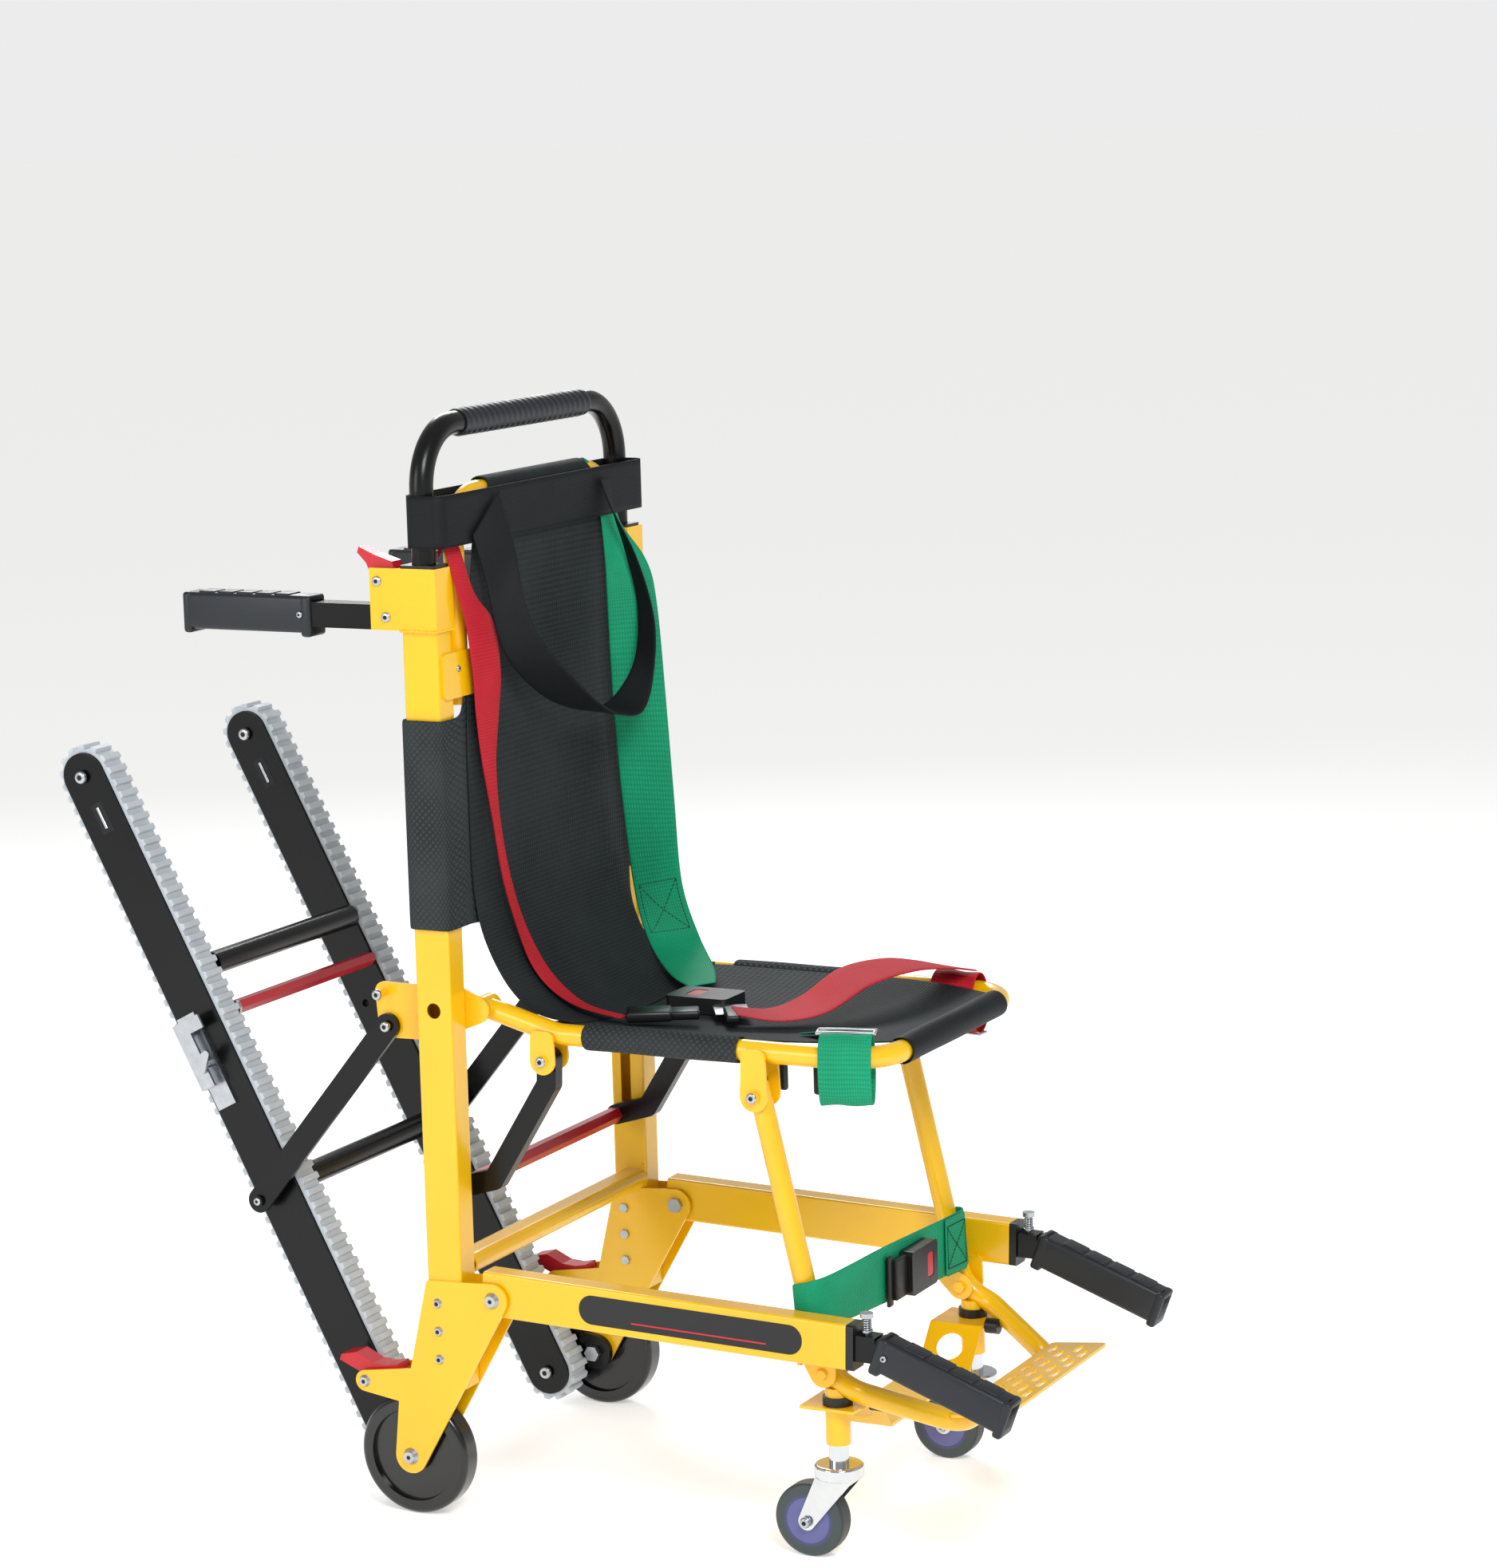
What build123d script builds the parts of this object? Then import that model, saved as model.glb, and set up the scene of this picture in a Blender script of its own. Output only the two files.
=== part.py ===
from build123d import *
import os
from math import atan2, cos, degrees, hypot, radians, sin

# Evacuation stair chair: a wheeled folding chair with belt tracks behind it for going down stairs.
# Millimetres. X runs to the occupant's left, -Y is the front, Z is up, and the floor is Z = 0.
# Side-view places are (y, z) pairs, with y counted rearward from the rear axle.

# Driving dimensions: the whole chair
front_reach = 669.9
rear_reach = 431.5
axle_y = (front_reach - rear_reach) / 2
wheel_track_half = 200.0
linkage_half = 166.0

# Rear wheels, their plates and the uprights
rear_wheel_d = 125.0
rear_wheel_w = 28.0
rear_axle_d = 10.0
side_gap = 1.0
plate_t = 3.0
upright_w = 30.0
upright_depth = 40.0
upright_wall = 1.5
upright_y = -46.0
upright_foot = 140.0
upright_top = 980.0
upright_corner_r = 3.0
side_hole_d = 16.0
side_hole_z = 533.0
slot_w = 12.0
slot_low = 330.0
slot_high = 462.0
running_gap = 0.3

screw_y = -39.0
screw_zs = (170.0, 199.5, 229.0)
screw_d = 6.0

# Sliding top handle
handle_tube_d = 24.0
handle_top_z = 1118.0
handle_bend_r = 62.0
handle_leg_end_z = 580.0
handle_grip_d = 31.0
handle_grip_half = 128.0
head_band_low = 1000.0
head_band_w = 52.0
webbing_t = 2.5
webbing_w = 50.0

# Linkage pivots, side view
rail_pivot = (-103.0, 238.5)
seat_pivot = (-78.0, 530.0)
leg_pivot = (-455.0, 192.0)
leg_head = (-387.0, 465.0)
leg_knee = (-451.5, 188.5)
leg_turn = (-485.0, 173.0)
strut_head = (-150.0, 482.0)
strut_foot = (-44.0, 340.0)
pivot_bolt_d = 8.0

# Lower rails and the front carrying handles
rail_w = 26.0
rail_h = 46.0
rail_wall = 2.0
rail_start = (-100.0, 243.0)
rail_end = (-496.0, 232.0)
carry_bar_w = 20.0
carry_bar_h = 26.0
carry_bar_tail = 290.0
carry_droop = 19.5
carry_bend_run = 28.0
carry_grip_l = 148.0
carry_grip_w = 30.0
carry_grip_h = 38.0
knob_d = 13.0

# Seat, legs and casters
frame_tube_d = 22.0
tube_wall = 2.0
seat_z = 508.0
seat_front_y = -517.0
seat_bend_y = -161.0
seat_corner_r = 52.0
cheek_t = 3.0
cheek_gap = 1.5
leg_toe = (114.0, -573.0, 136.0)
caster_half = 165.0
caster_stem_y = -463.0
caster_stem_d = 25.0
caster_stem_low = 118.0
caster_trail = 30.0
caster_wheel_d = 75.0
caster_wheel_w = 24.0
foot_plate_half = 132.0
foot_plate_depth = 62.0

# Stair tracks
track_top = (398.5, 743.0)
track_bottom = (40.0, 46.0)
track_half = 155.0
track_beam_half_w = 25.0
belt_w = 29.0
belt_inner_r = 25.0
belt_outer_r = 33.0
hinge_lug_t = 7.0
link_top = (25.0, 507.0)
link_foot = (190.0, 308.0)
catch_stud = (30.0, 541.0)
latch_pivot = (256.0, 446.5)
release_bar = (248.0, 498.0)

# Rear carrying handles and wheel brakes
rear_bar_w = 24.0
rear_bar_h = 27.0
rear_bar_pivot = (-10.0, 931.0)
rear_lever_pivot = (-1.0, 967.0)
rear_grip_start = 81.0
rear_grip_end = 234.0
rear_grip_h = 40.0
rear_grip_w = 31.0
collar_low = 918.0
brake_pivot = (52.0, 137.0)

SIDES = {"right": -1, "left": 1}
upright_x = wheel_track_half
plate_outer_x = upright_x + upright_w / 2
plate_inner_x = upright_x - upright_w / 2 - plate_t
axle_centre = (0.0, rear_wheel_d / 2)
os.makedirs("parts", exist_ok=True)


def side_plane(x):
    """The side-view plane at x; its own axes are y from the rear axle and z from the floor."""
    return Plane(origin=(x, axle_y, 0), x_dir=(0, 1, 0), z_dir=(1, 0, 0))


def point(x, y, z):
    return (x, axle_y + y, z)


def rod(x0, x1, centre, diameter, bore=0):
    """A round bar or bush that lies along X, from x0 to x1."""
    with BuildPart() as piece:
        with BuildSketch(side_plane(x0)):
            with Locations(centre):
                Circle(diameter / 2)
                if bore:
                    Circle(bore / 2, mode=Mode.SUBTRACT)
        extrude(amount=x1 - x0)
    return piece.part


def lobed_plate(x0, thickness, *lobes, holes=()):
    """A flat side plate: the outline that wraps round lobes (y, z, radius), with round holes."""
    with BuildPart() as piece:
        with BuildSketch(side_plane(x0)):
            for y, z, radius in lobes:
                with Locations((y, z)):
                    Circle(radius)
            make_hull()
            for y, z, diameter in holes:
                with Locations((y, z)):
                    Circle(diameter / 2, mode=Mode.SUBTRACT)
        extrude(amount=thickness)
    return piece.part


def side_block(x0, x1, corners):
    """A block along X with a polygon outline in the side view."""
    with BuildPart() as piece:
        with BuildSketch(side_plane(x0)):
            Polygon(*corners, align=None)
        extrude(amount=x1 - x0)
    return piece.part


def bent_tube(corners, radii, diameter, wall=0):
    """A round tube on straight runs between corners, joined by bends of the given radii."""
    with BuildPart() as piece:
        with BuildLine() as path:
            FilletPolyline(*corners, radius=radii)
        with BuildSketch(Plane(origin=path.line @ 0, z_dir=path.line % 0)):
            Circle(diameter / 2)
            if wall:
                Circle(diameter / 2 - wall, mode=Mode.SUBTRACT)
        sweep()
    return piece.part


def both_sides(part):
    """The part and its mirror image across the chair's middle plane."""
    with BuildPart() as pair:
        add(part)
        mirror(about=Plane.YZ)
    return pair.part


def one_side(part, side):
    """A part that was made on the left, placed on the side asked for."""
    with BuildPart() as placed:
        add(part if side > 0 else part.mirror(Plane.YZ))
    return placed.part


def box_between(low, high):
    """A block from its low corner to its high corner, both (x, y from the axle, z)."""
    with BuildPart() as piece:
        with BuildSketch(Plane.XY.offset(low[2])):
            with Locations(((low[0] + high[0]) / 2, axle_y + (low[1] + high[1]) / 2)):
                Rectangle(high[0] - low[0], high[1] - low[1])
        extrude(amount=high[2] - low[2])
    return piece.part


def save(piece, label):
    piece.part.label = label
    export_step(piece.part, f"parts/{label}.step")


# Uprights with the welded collars that hold the rear handles
collar_wall = 2.0
ear_reach = 8.0
ear_r = 9.0


def upright_tube():
    """The left upright: a drawn tube, its collar with two ears, the strut slot and the side hole."""
    rear_y = upright_y + upright_depth / 2
    front_y = upright_y - upright_depth / 2
    collar_h = upright_top - collar_low
    with BuildPart() as tube:
        with BuildSketch(Plane.XY.offset(upright_foot)):
            with Locations((upright_x, axle_y + upright_y)):
                RectangleRounded(upright_w, upright_depth, upright_corner_r)
        extrude(amount=upright_top - upright_foot)
        with BuildSketch(Plane.XY.offset(collar_low)):
            with Locations((upright_x, axle_y + (front_y - collar_wall + ear_reach) / 2)):
                Rectangle(upright_w + 2 * collar_wall, ear_reach - front_y + collar_wall)
        extrude(amount=collar_h)
        with BuildSketch(Plane.XY.offset(collar_low)):
            with Locations((upright_x, axle_y + (rear_y + collar_wall + ear_reach) / 2)):
                Rectangle(rear_bar_w + 2 * side_gap, ear_reach - rear_y - collar_wall)
        extrude(amount=collar_h, mode=Mode.SUBTRACT)
        with BuildSketch(Plane.XY.offset(upright_foot)):
            with Locations((upright_x, axle_y + upright_y)):
                Rectangle(upright_w - 2 * upright_wall, upright_depth - 2 * upright_wall)
        extrude(amount=upright_top - upright_foot, mode=Mode.SUBTRACT)
        with BuildSketch(side_plane(upright_x - upright_w / 2 - side_gap)):
            with Locations((strut_foot[0], (slot_low + slot_high) / 2)):
                SlotOverall(slot_high - slot_low, slot_w, rotation=90)
        extrude(amount=2 * side_gap + upright_wall, mode=Mode.SUBTRACT)
        with BuildSketch(side_plane(upright_x + upright_w / 2 - upright_wall - side_gap)):
            with Locations((upright_y, side_hole_z)):
                Circle(side_hole_d / 2)
        extrude(amount=2 * side_gap + upright_wall, mode=Mode.SUBTRACT)
        with BuildSketch(side_plane(upright_x - upright_w)):
            with Locations(rear_bar_pivot, rear_lever_pivot):
                Circle((pivot_bolt_d + running_gap) / 2)
            with Locations(*[(screw_y, z) for z in screw_zs]):
                Circle((screw_d + running_gap) / 2)
        extrude(amount=2 * upright_w, mode=Mode.SUBTRACT)
    return tube.part


left_upright = upright_tube()
for side_name, side in SIDES.items():
    with BuildPart() as upright:
        add(one_side(left_upright, side))
    save(upright, f"upright_{side_name}")

bush_depth = 30.0
bush_brim = 3.0
with BuildPart() as guide_bushes:
    with BuildSketch(Plane.XY.offset(upright_top - bush_depth)):
        with Locations((upright_x, axle_y + upright_y)):
            Rectangle(upright_w - 2 * upright_wall - running_gap, upright_depth - 2 * upright_wall - running_gap)
    extrude(amount=bush_depth)
    with BuildSketch(Plane.XY.offset(upright_top)):
        with Locations((upright_x, axle_y + upright_y)):
            RectangleRounded(upright_w, upright_depth, upright_corner_r)
    extrude(amount=bush_brim)
    with BuildSketch(Plane.XY.offset(upright_top - bush_depth)):
        with Locations((upright_x, axle_y + upright_y)):
            Circle(handle_tube_d / 2 + running_gap)
    extrude(amount=bush_depth + bush_brim, mode=Mode.SUBTRACT)
    mirror(about=Plane.YZ)
save(guide_bushes, "guide_bushes")

# Wheel plates: one pair each side clamps the foot of the upright and carries the rear axle
axle_lobe_r = 18.0
ear_lobe_r = 17.0
arm_lobe_r = 11.0
plate_back_y = upright_y + upright_depth / 2


def wheel_plate(x0):
    """One wheel plate: a triangle from axle to rail ear, with an arm for the brake pivot."""
    corner_r = 3.0
    rail_ear = (*rail_pivot, ear_lobe_r)
    back_top = (plate_back_y - corner_r, rail_pivot[1] + 13.5 - corner_r, corner_r)
    back_low = (plate_back_y - corner_r, 165.0, corner_r)
    arm_root = (plate_back_y - arm_lobe_r, 150.0, arm_lobe_r)
    with BuildPart() as plate:
        add(lobed_plate(x0, plate_t, (*axle_centre, axle_lobe_r), rail_ear, back_top, back_low))
        add(lobed_plate(x0, plate_t, (*brake_pivot, arm_lobe_r), arm_root, (-10.0, 128.0, arm_lobe_r)))
        add(lobed_plate(x0, plate_t, (*axle_centre, axle_lobe_r), (0.0, 128.0, arm_lobe_r), arm_root))
        with BuildSketch(side_plane(x0)):
            with Locations(axle_centre):
                Circle((rear_axle_d + running_gap) / 2)
            with Locations(rail_pivot):
                Circle((rear_axle_d + running_gap) / 2)
            with Locations(brake_pivot):
                Circle((pivot_bolt_d + running_gap) / 2)
            with Locations(*[(screw_y, z) for z in screw_zs]):
                Circle((screw_d + running_gap) / 2)
        extrude(amount=plate_t, mode=Mode.SUBTRACT)
    return plate.part


with BuildPart() as wheel_plates:
    add(wheel_plate(plate_outer_x))
    add(wheel_plate(plate_inner_x))
    mirror(about=Plane.YZ)
save(wheel_plates, "wheel_plates")


def bolt(x_head, x_end, centre, shank_d, head_d, head_t, nut_t=0):
    """A button-head bolt along X from its head's seat at x_head to x_end, with a nut there."""
    outward = 1 if x_head > x_end else -1
    with BuildPart() as piece:
        add(rod(min(x_head, x_end), max(x_head, x_end), centre, shank_d))
        with BuildSketch(side_plane(x_head)):
            with Locations(centre):
                Circle(head_d / 2)
        extrude(amount=outward * head_t, taper=30)
        if nut_t:
            with BuildSketch(side_plane(x_end)):
                with Locations(centre):
                    RegularPolygon(head_d / 2, 6)
            extrude(amount=-outward * nut_t)
    return piece.part


# Bolts of the back frame: clamp bolts, rail and brake pivots, collar pins and the rear axles
plates_out = plate_outer_x + plate_t
track_outer_x = track_half + belt_w / 2 + side_gap + plate_t
with BuildPart() as frame_bolts:
    for z in screw_zs:
        add(bolt(plates_out, plate_inner_x, (screw_y, z), screw_d - running_gap, 10.5, 3.0, 3.0))
    add(bolt(plates_out, plate_inner_x, rail_pivot, rear_axle_d, 17.0, 4.5, 5.0))
    add(bolt(plates_out, plate_inner_x, brake_pivot, pivot_bolt_d, 13.0, 3.5, 4.0))
    add(rod(upright_x - rear_bar_w / 2 - side_gap - collar_wall, upright_x + rear_bar_w / 2 + side_gap
            + collar_wall + 3.0, rear_bar_pivot, pivot_bolt_d))
    add(rod(upright_x - rear_bar_w / 2 - side_gap - collar_wall, upright_x + rear_bar_w / 2 + side_gap
            + collar_wall + 3.0, rear_lever_pivot, pivot_bolt_d))
    # The axles run on inward through the track's hinge lugs.
    add(bolt(plates_out, track_outer_x - side_gap, axle_centre, rear_axle_d, 18.0, 5.5, 7.0))
    mirror(about=Plane.YZ)
save(frame_bolts, "frame_bolts")


def rear_wheel_body():
    """The left rear wheel: rounded tyre, dished face on both sides and a bored hub."""
    half = rear_wheel_w / 2
    radius = rear_wheel_d / 2
    with BuildPart() as wheel:
        with BuildSketch(side_plane(wheel_track_half - half)):
            with Locations(axle_centre):
                Circle(radius)
        extrude(amount=rear_wheel_w)
        fillet(wheel.edges().filter_by(GeomType.CIRCLE), 6.0)
        for face_x, depth in ((wheel_track_half - half, 5.0), (wheel_track_half + half, -5.0)):
            with BuildSketch(side_plane(face_x)):
                with Locations(axle_centre):
                    Circle(radius - 14.0)
                    Circle(14.0, mode=Mode.SUBTRACT)
            extrude(amount=depth, taper=12, mode=Mode.SUBTRACT)
        with BuildSketch(side_plane(wheel_track_half - half)):
            with Locations(axle_centre):
                Circle((rear_axle_d + running_gap) / 2)
        extrude(amount=rear_wheel_w, mode=Mode.SUBTRACT)
    return wheel.part


left_rear_wheel = rear_wheel_body()
for side_name, side in SIDES.items():
    with BuildPart() as rear_wheel:
        add(one_side(left_rear_wheel, side))
    save(rear_wheel, f"rear_wheel_{side_name}")

# Brake pedals: a red treadle on the brake pivot, its shoe just above the tyre
pedal_w = 22.0
with BuildPart() as left_pedal:
    add(rod(upright_x - pedal_w / 2, upright_x + pedal_w / 2, brake_pivot, 16.0, pivot_bolt_d + running_gap))
    with BuildSketch(side_plane(upright_x - pedal_w / 2)):
        Polygon((14, 150), (30, 143), (46, 143), (60, 143), (86, 154), (84, 160), (66, 164), (46, 155),
                (30, 154), (16, 157), align=None)
        with Locations(brake_pivot):
            Circle((pivot_bolt_d + running_gap) / 2, mode=Mode.SUBTRACT)
    extrude(amount=pedal_w)
for side_name, side in SIDES.items():
    with BuildPart() as brake_pedal:
        add(one_side(left_pedal.part, side))
    save(brake_pedal, f"brake_pedal_{side_name}")

# Cross tube: a flattened tube between the uprights
cross_tube_centre = (-58.0, 264.0)
with BuildPart() as cross_tube:
    inner_face = upright_x - upright_w / 2
    with BuildSketch(side_plane(-inner_face)):
        with Locations((cross_tube_centre[0] + 7.0, cross_tube_centre[1])):
            SlotOverall(34.0, 20.0)
            SlotOverall(30.0, 16.0, mode=Mode.SUBTRACT)
    extrude(amount=2 * inner_face)
save(cross_tube, "cross_tube")

# Back arch: a hoop over the backrest, held to the uprights by two gussets
arch_tube_d = 21.0
arch_half = 158.0
arch_top_z = 1048.0
arch_low_z = 838.0
arch_y = -55.5
arch_bend_r = 46.0
with BuildPart() as back_arch:
    add(bent_tube([point(-arch_half, arch_y, arch_low_z), point(-arch_half, arch_y, arch_top_z),
                   point(arch_half, arch_y, arch_top_z), point(arch_half, arch_y, arch_low_z)],
                  arch_bend_r, arch_tube_d, tube_wall))
save(back_arch, "back_arch")

# Frame brackets: the arch's gussets, and cheeks inside the uprights that carry the seat's pivot bolts
seat_tube_in = linkage_half - frame_tube_d / 2
gusset_low = 848.0
gusset_high = 894.0
gusset_inner_x = 148.0
with BuildPart() as frame_brackets:
    gusset_y = upright_y - upright_depth / 2 - plate_t
    add(box_between((gusset_inner_x, gusset_y, gusset_low), (upright_x + 8, gusset_y + plate_t, gusset_high)))
    fillet(frame_brackets.edges().filter_by(Axis.Y), 6.0)
    add(box_between((arch_half + arch_tube_d / 2, gusset_y + plate_t, gusset_low + 8),
                    (inner_face, gusset_y + plate_t + 10, gusset_high - 8)))
    bracket_low = seat_pivot[1] - 22.0
    bracket_high = seat_pivot[1] + 22.0
    add(lobed_plate(inner_face - plate_t, plate_t, (*seat_pivot, 14.0), (-60.0, bracket_low + 5, 5.0),
                    (-60.0, bracket_high - 5, 5.0)))
    add(rod(seat_tube_in - 4.0, inner_face - plate_t, seat_pivot, pivot_bolt_d))
    add(rod(seat_tube_in - 4.0, seat_tube_in - side_gap, seat_pivot, 13.0))
    mirror(about=Plane.YZ)
save(frame_brackets, "frame_brackets")

# Track hangers: plates behind the uprights with the catch stud and the link pivot
link_t = 5.0
link_x = inner_face + side_gap
with BuildPart() as track_hangers:
    hanger_x = inner_face - plate_t
    add(lobed_plate(hanger_x, plate_t, (*catch_stud, 11.0), (*link_top, 13.0), (-40.0, 546.0, 5.0),
                    (-40.0, 500.0, 5.0)))
    add(rod(hanger_x + plate_t, hanger_x + plate_t + 14.0, catch_stud, 8.0))
    add(rod(hanger_x + plate_t, link_x + link_t + 3.0, link_top, pivot_bolt_d))
    mirror(about=Plane.YZ)
save(track_hangers, "track_hangers")

# Top handle: a hoop whose legs slide in the uprights
with BuildPart() as handle_tube:
    add(bent_tube([point(-upright_x, upright_y, handle_leg_end_z), point(-upright_x, upright_y, handle_top_z),
                   point(upright_x, upright_y, handle_top_z), point(upright_x, upright_y, handle_leg_end_z)],
                  handle_bend_r, handle_tube_d, tube_wall))
save(handle_tube, "handle_tube")
with BuildPart() as handle_grip:
    add(rod(-handle_grip_half, handle_grip_half, (upright_y, handle_top_z), handle_grip_d,
            handle_tube_d + running_gap))
save(handle_grip, "handle_grip")

# Head strap: a webbing band round the handle's legs and a wide loop that hangs in front
band_clear = 1.0
head_loop_half = 125.0
with BuildPart() as head_strap:
    leg_r = handle_tube_d / 2
    band_front = arch_y - arch_tube_d / 2 - 7.0
    band_back = upright_y + leg_r + band_clear
    with BuildSketch(Plane.XY.offset(head_band_low)):
        with Locations((0, axle_y + (band_front + band_back) / 2)):
            RectangleRounded(2 * (upright_x + leg_r + band_clear + webbing_t),
                             band_back - band_front + 2 * webbing_t, 14.0)
            RectangleRounded(2 * (upright_x + leg_r + band_clear), band_back - band_front, 11.5,
                             mode=Mode.SUBTRACT)
    extrude(amount=head_band_w)
    with BuildSketch(Plane.XZ.offset(-(axle_y + band_front - webbing_t))):
        with Locations((0, head_band_low - 45.0)):
            Rectangle(2 * head_loop_half, 100.0)
        with Locations((0, head_band_low - 95.0)):
            Ellipse(head_loop_half, 92.0)
    extrude(amount=4.0)
save(head_strap, "head_strap")

# Rear carrying handles: a bar on the collar's ears with a grip, and a red release lever
with BuildPart() as left_rear_bar:
    pivot_y, pivot_z = rear_bar_pivot
    with BuildSketch(side_plane(upright_x - rear_bar_w / 2)):
        with Locations(rear_bar_pivot):
            Circle(rear_bar_h / 2)
        with Locations(((pivot_y + rear_grip_end - 6) / 2, pivot_z - 1.0)):
            Rectangle(rear_grip_end - 6 - pivot_y, rear_bar_h - 2.0)
        with Locations(rear_bar_pivot):
            Circle((pivot_bolt_d + running_gap) / 2, mode=Mode.SUBTRACT)
    extrude(amount=rear_bar_w)
with BuildPart() as left_rear_grip:
    with BuildSketch(Plane.XZ.offset(-(axle_y + rear_grip_start))):
        with Locations((upright_x, pivot_z - 1.0)):
            RectangleRounded(rear_grip_w, rear_grip_h, 9.0)
    extrude(amount=-(rear_grip_end - rear_grip_start))
    fillet(left_rear_grip.faces().sort_by(Axis.Y)[-1].edges(), 3.0)
    with BuildSketch(Plane.XZ.offset(-(axle_y + rear_grip_start))):
        with Locations((upright_x, pivot_z - 1.0)):
            Rectangle(rear_bar_w + running_gap, rear_bar_h - 2.0 + running_gap)
    extrude(amount=-(rear_grip_end - rear_grip_start - 5.0), mode=Mode.SUBTRACT)
with BuildPart() as left_rear_lever:
    lever_half = 9.0
    with BuildSketch(side_plane(upright_x - lever_half)):
        with Locations(rear_lever_pivot):
            Circle(8.0)
        Polygon((-9, 967), (7, 962), (16, 984), (26, 994), (24, 1000), (8, 993), (-14, 986), (-16, 980), align=None)
        with Locations(rear_lever_pivot):
            Circle((pivot_bolt_d + running_gap) / 2, mode=Mode.SUBTRACT)
    extrude(amount=2 * lever_half)
for side_name, side in SIDES.items():
    with BuildPart() as rear_bar:
        add(one_side(left_rear_bar.part, side))
    save(rear_bar, f"rear_bar_{side_name}")
    with BuildPart() as rear_grip:
        add(one_side(left_rear_grip.part, side))
    save(rear_grip, f"rear_grip_{side_name}")
    with BuildPart() as rear_lever:
        add(one_side(left_rear_lever.part, side))
    save(rear_lever, f"rear_lever_{side_name}")

# Lower rails: box section from the rail pivot to the front, each with a clevis for the leg pivot
rail_run = (rail_end[0] - rail_start[0], rail_end[1] - rail_start[1])
rail_length = hypot(*rail_run)
rail_slope = atan2(-rail_run[1], -rail_run[0])
rail_ahead = (0.0, -cos(rail_slope), -sin(rail_slope))
clevis_in = linkage_half - frame_tube_d / 2 - cheek_gap
clevis_out = linkage_half + frame_tube_d / 2 + cheek_gap


def along_rail(distance, up=0.0):
    """The side-view place at a distance ahead of the rail's rear end, and up from its centre line."""
    return (rail_start[0] + distance * rail_ahead[1] + up * sin(rail_slope) * -1,
            rail_start[1] + distance * rail_ahead[2] + up * cos(rail_slope))


def rail_plane(distance, x=upright_x):
    """The plane across the rail at a distance ahead of its rear end; its own y runs up the rail."""
    y, z = along_rail(distance)
    return Plane(origin=point(x, y, z), x_dir=(1, 0, 0), z_dir=rail_ahead)


with BuildPart() as left_rail:
    with BuildSketch(rail_plane(-22.0)):
        RectangleRounded(rail_w, rail_h, 3.0)
        Rectangle(rail_w - 2 * rail_wall, rail_h - 2 * rail_wall, mode=Mode.SUBTRACT)
    extrude(amount=rail_length + 22.0)
    with BuildSketch(side_plane(upright_x - rail_w)):
        Polygon((-92, 280), (-88, 230), (-104, 205), (-40, 205), (-40, 280), align=None)
    extrude(amount=2 * rail_w, mode=Mode.SUBTRACT)
    with BuildSketch(side_plane(upright_x - rail_w / 2)):
        with Locations(rail_pivot):
            Circle(9.0)
    extrude(amount=rail_w)
    with BuildSketch(side_plane(upright_x - rail_w / 2)):
        with Locations(rail_pivot):
            Circle((rear_axle_d + running_gap) / 2)
    extrude(amount=rail_w, mode=Mode.SUBTRACT)
    web_y = leg_pivot[0] + 23.5
    rail_inner_x = upright_x - rail_w / 2
    add(lobed_plate(clevis_out, cheek_t, (*leg_pivot, 14.0), (leg_pivot[0] - 8, 214, 5.0), (web_y, 214, 4.0)))
    add(box_between((clevis_out, web_y - 30.0, 209), (rail_inner_x, web_y + 4.0, 219)))
    add(lobed_plate(clevis_in - cheek_t, cheek_t, (*leg_pivot, 14.0), (web_y, 214, 4.0), (web_y, 202, 4.0)))
    add(box_between((clevis_in - cheek_t, web_y, 198), (clevis_out + cheek_t, web_y + 4.0, 218)))
    add(bolt(clevis_out + cheek_t, clevis_in - cheek_t, leg_pivot, pivot_bolt_d, 13.0, 3.5, 4.0))
for side_name, side in SIDES.items():
    with BuildPart() as rail:
        add(one_side(left_rail.part, side))
    save(rail, f"rail_{side_name}")

cap_t = 8.0
with BuildPart() as rail_caps:
    with BuildSketch(rail_plane(rail_length)):
        RectangleRounded(rail_w, rail_h, 3.0)
    extrude(amount=cap_t)
    with BuildSketch(rail_plane(rail_length)):
        Rectangle(rail_w - 2 * rail_wall - running_gap, rail_h - 2 * rail_wall - running_gap)
    extrude(amount=-30.0)
    with BuildSketch(rail_plane(rail_length - 30.0)):
        Rectangle(carry_bar_w + 2 * running_gap, carry_bar_h + 2 * running_gap)
    extrude(amount=30.0 + cap_t, mode=Mode.SUBTRACT)
    mirror(about=Plane.YZ)
save(rail_caps, "rail_caps")

# Front carrying handles: square bars that slide in the rails, bent down at the grips
droop = radians(carry_droop)
bar_start = rail_length + cap_t - carry_bar_tail
bend_y, bend_z = along_rail(rail_length + carry_bend_run)
grip_ahead = (0.0, -cos(rail_slope + droop), -sin(rail_slope + droop))
grip_plane = Plane(origin=point(upright_x, bend_y, bend_z), x_dir=(1, 0, 0), z_dir=grip_ahead)
with BuildPart() as left_carry_bar:
    with BuildSketch(rail_plane(bar_start)):
        Rectangle(carry_bar_w, carry_bar_h)
    extrude(amount=rail_length + carry_bend_run + 2.0 - bar_start)
    with BuildSketch(grip_plane):
        Rectangle(carry_bar_w, carry_bar_h)
    extrude(amount=carry_grip_l - 10.0)
    with BuildSketch(rail_plane(bar_start)):
        Rectangle(carry_bar_w - 2 * rail_wall, carry_bar_h - 2 * rail_wall)
    extrude(amount=rail_length + carry_bend_run - 8.0 - bar_start, mode=Mode.SUBTRACT)
    knob_y, knob_z = along_rail(rail_length + cap_t + 9.0, carry_bar_h / 2)
    with BuildSketch(Plane(origin=point(upright_x, knob_y, knob_z), x_dir=(1, 0, 0),
                           z_dir=(0, -sin(rail_slope), cos(rail_slope)))):
        Circle(3.0)
    extrude(amount=-6.0, mode=Mode.SUBTRACT)
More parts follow.
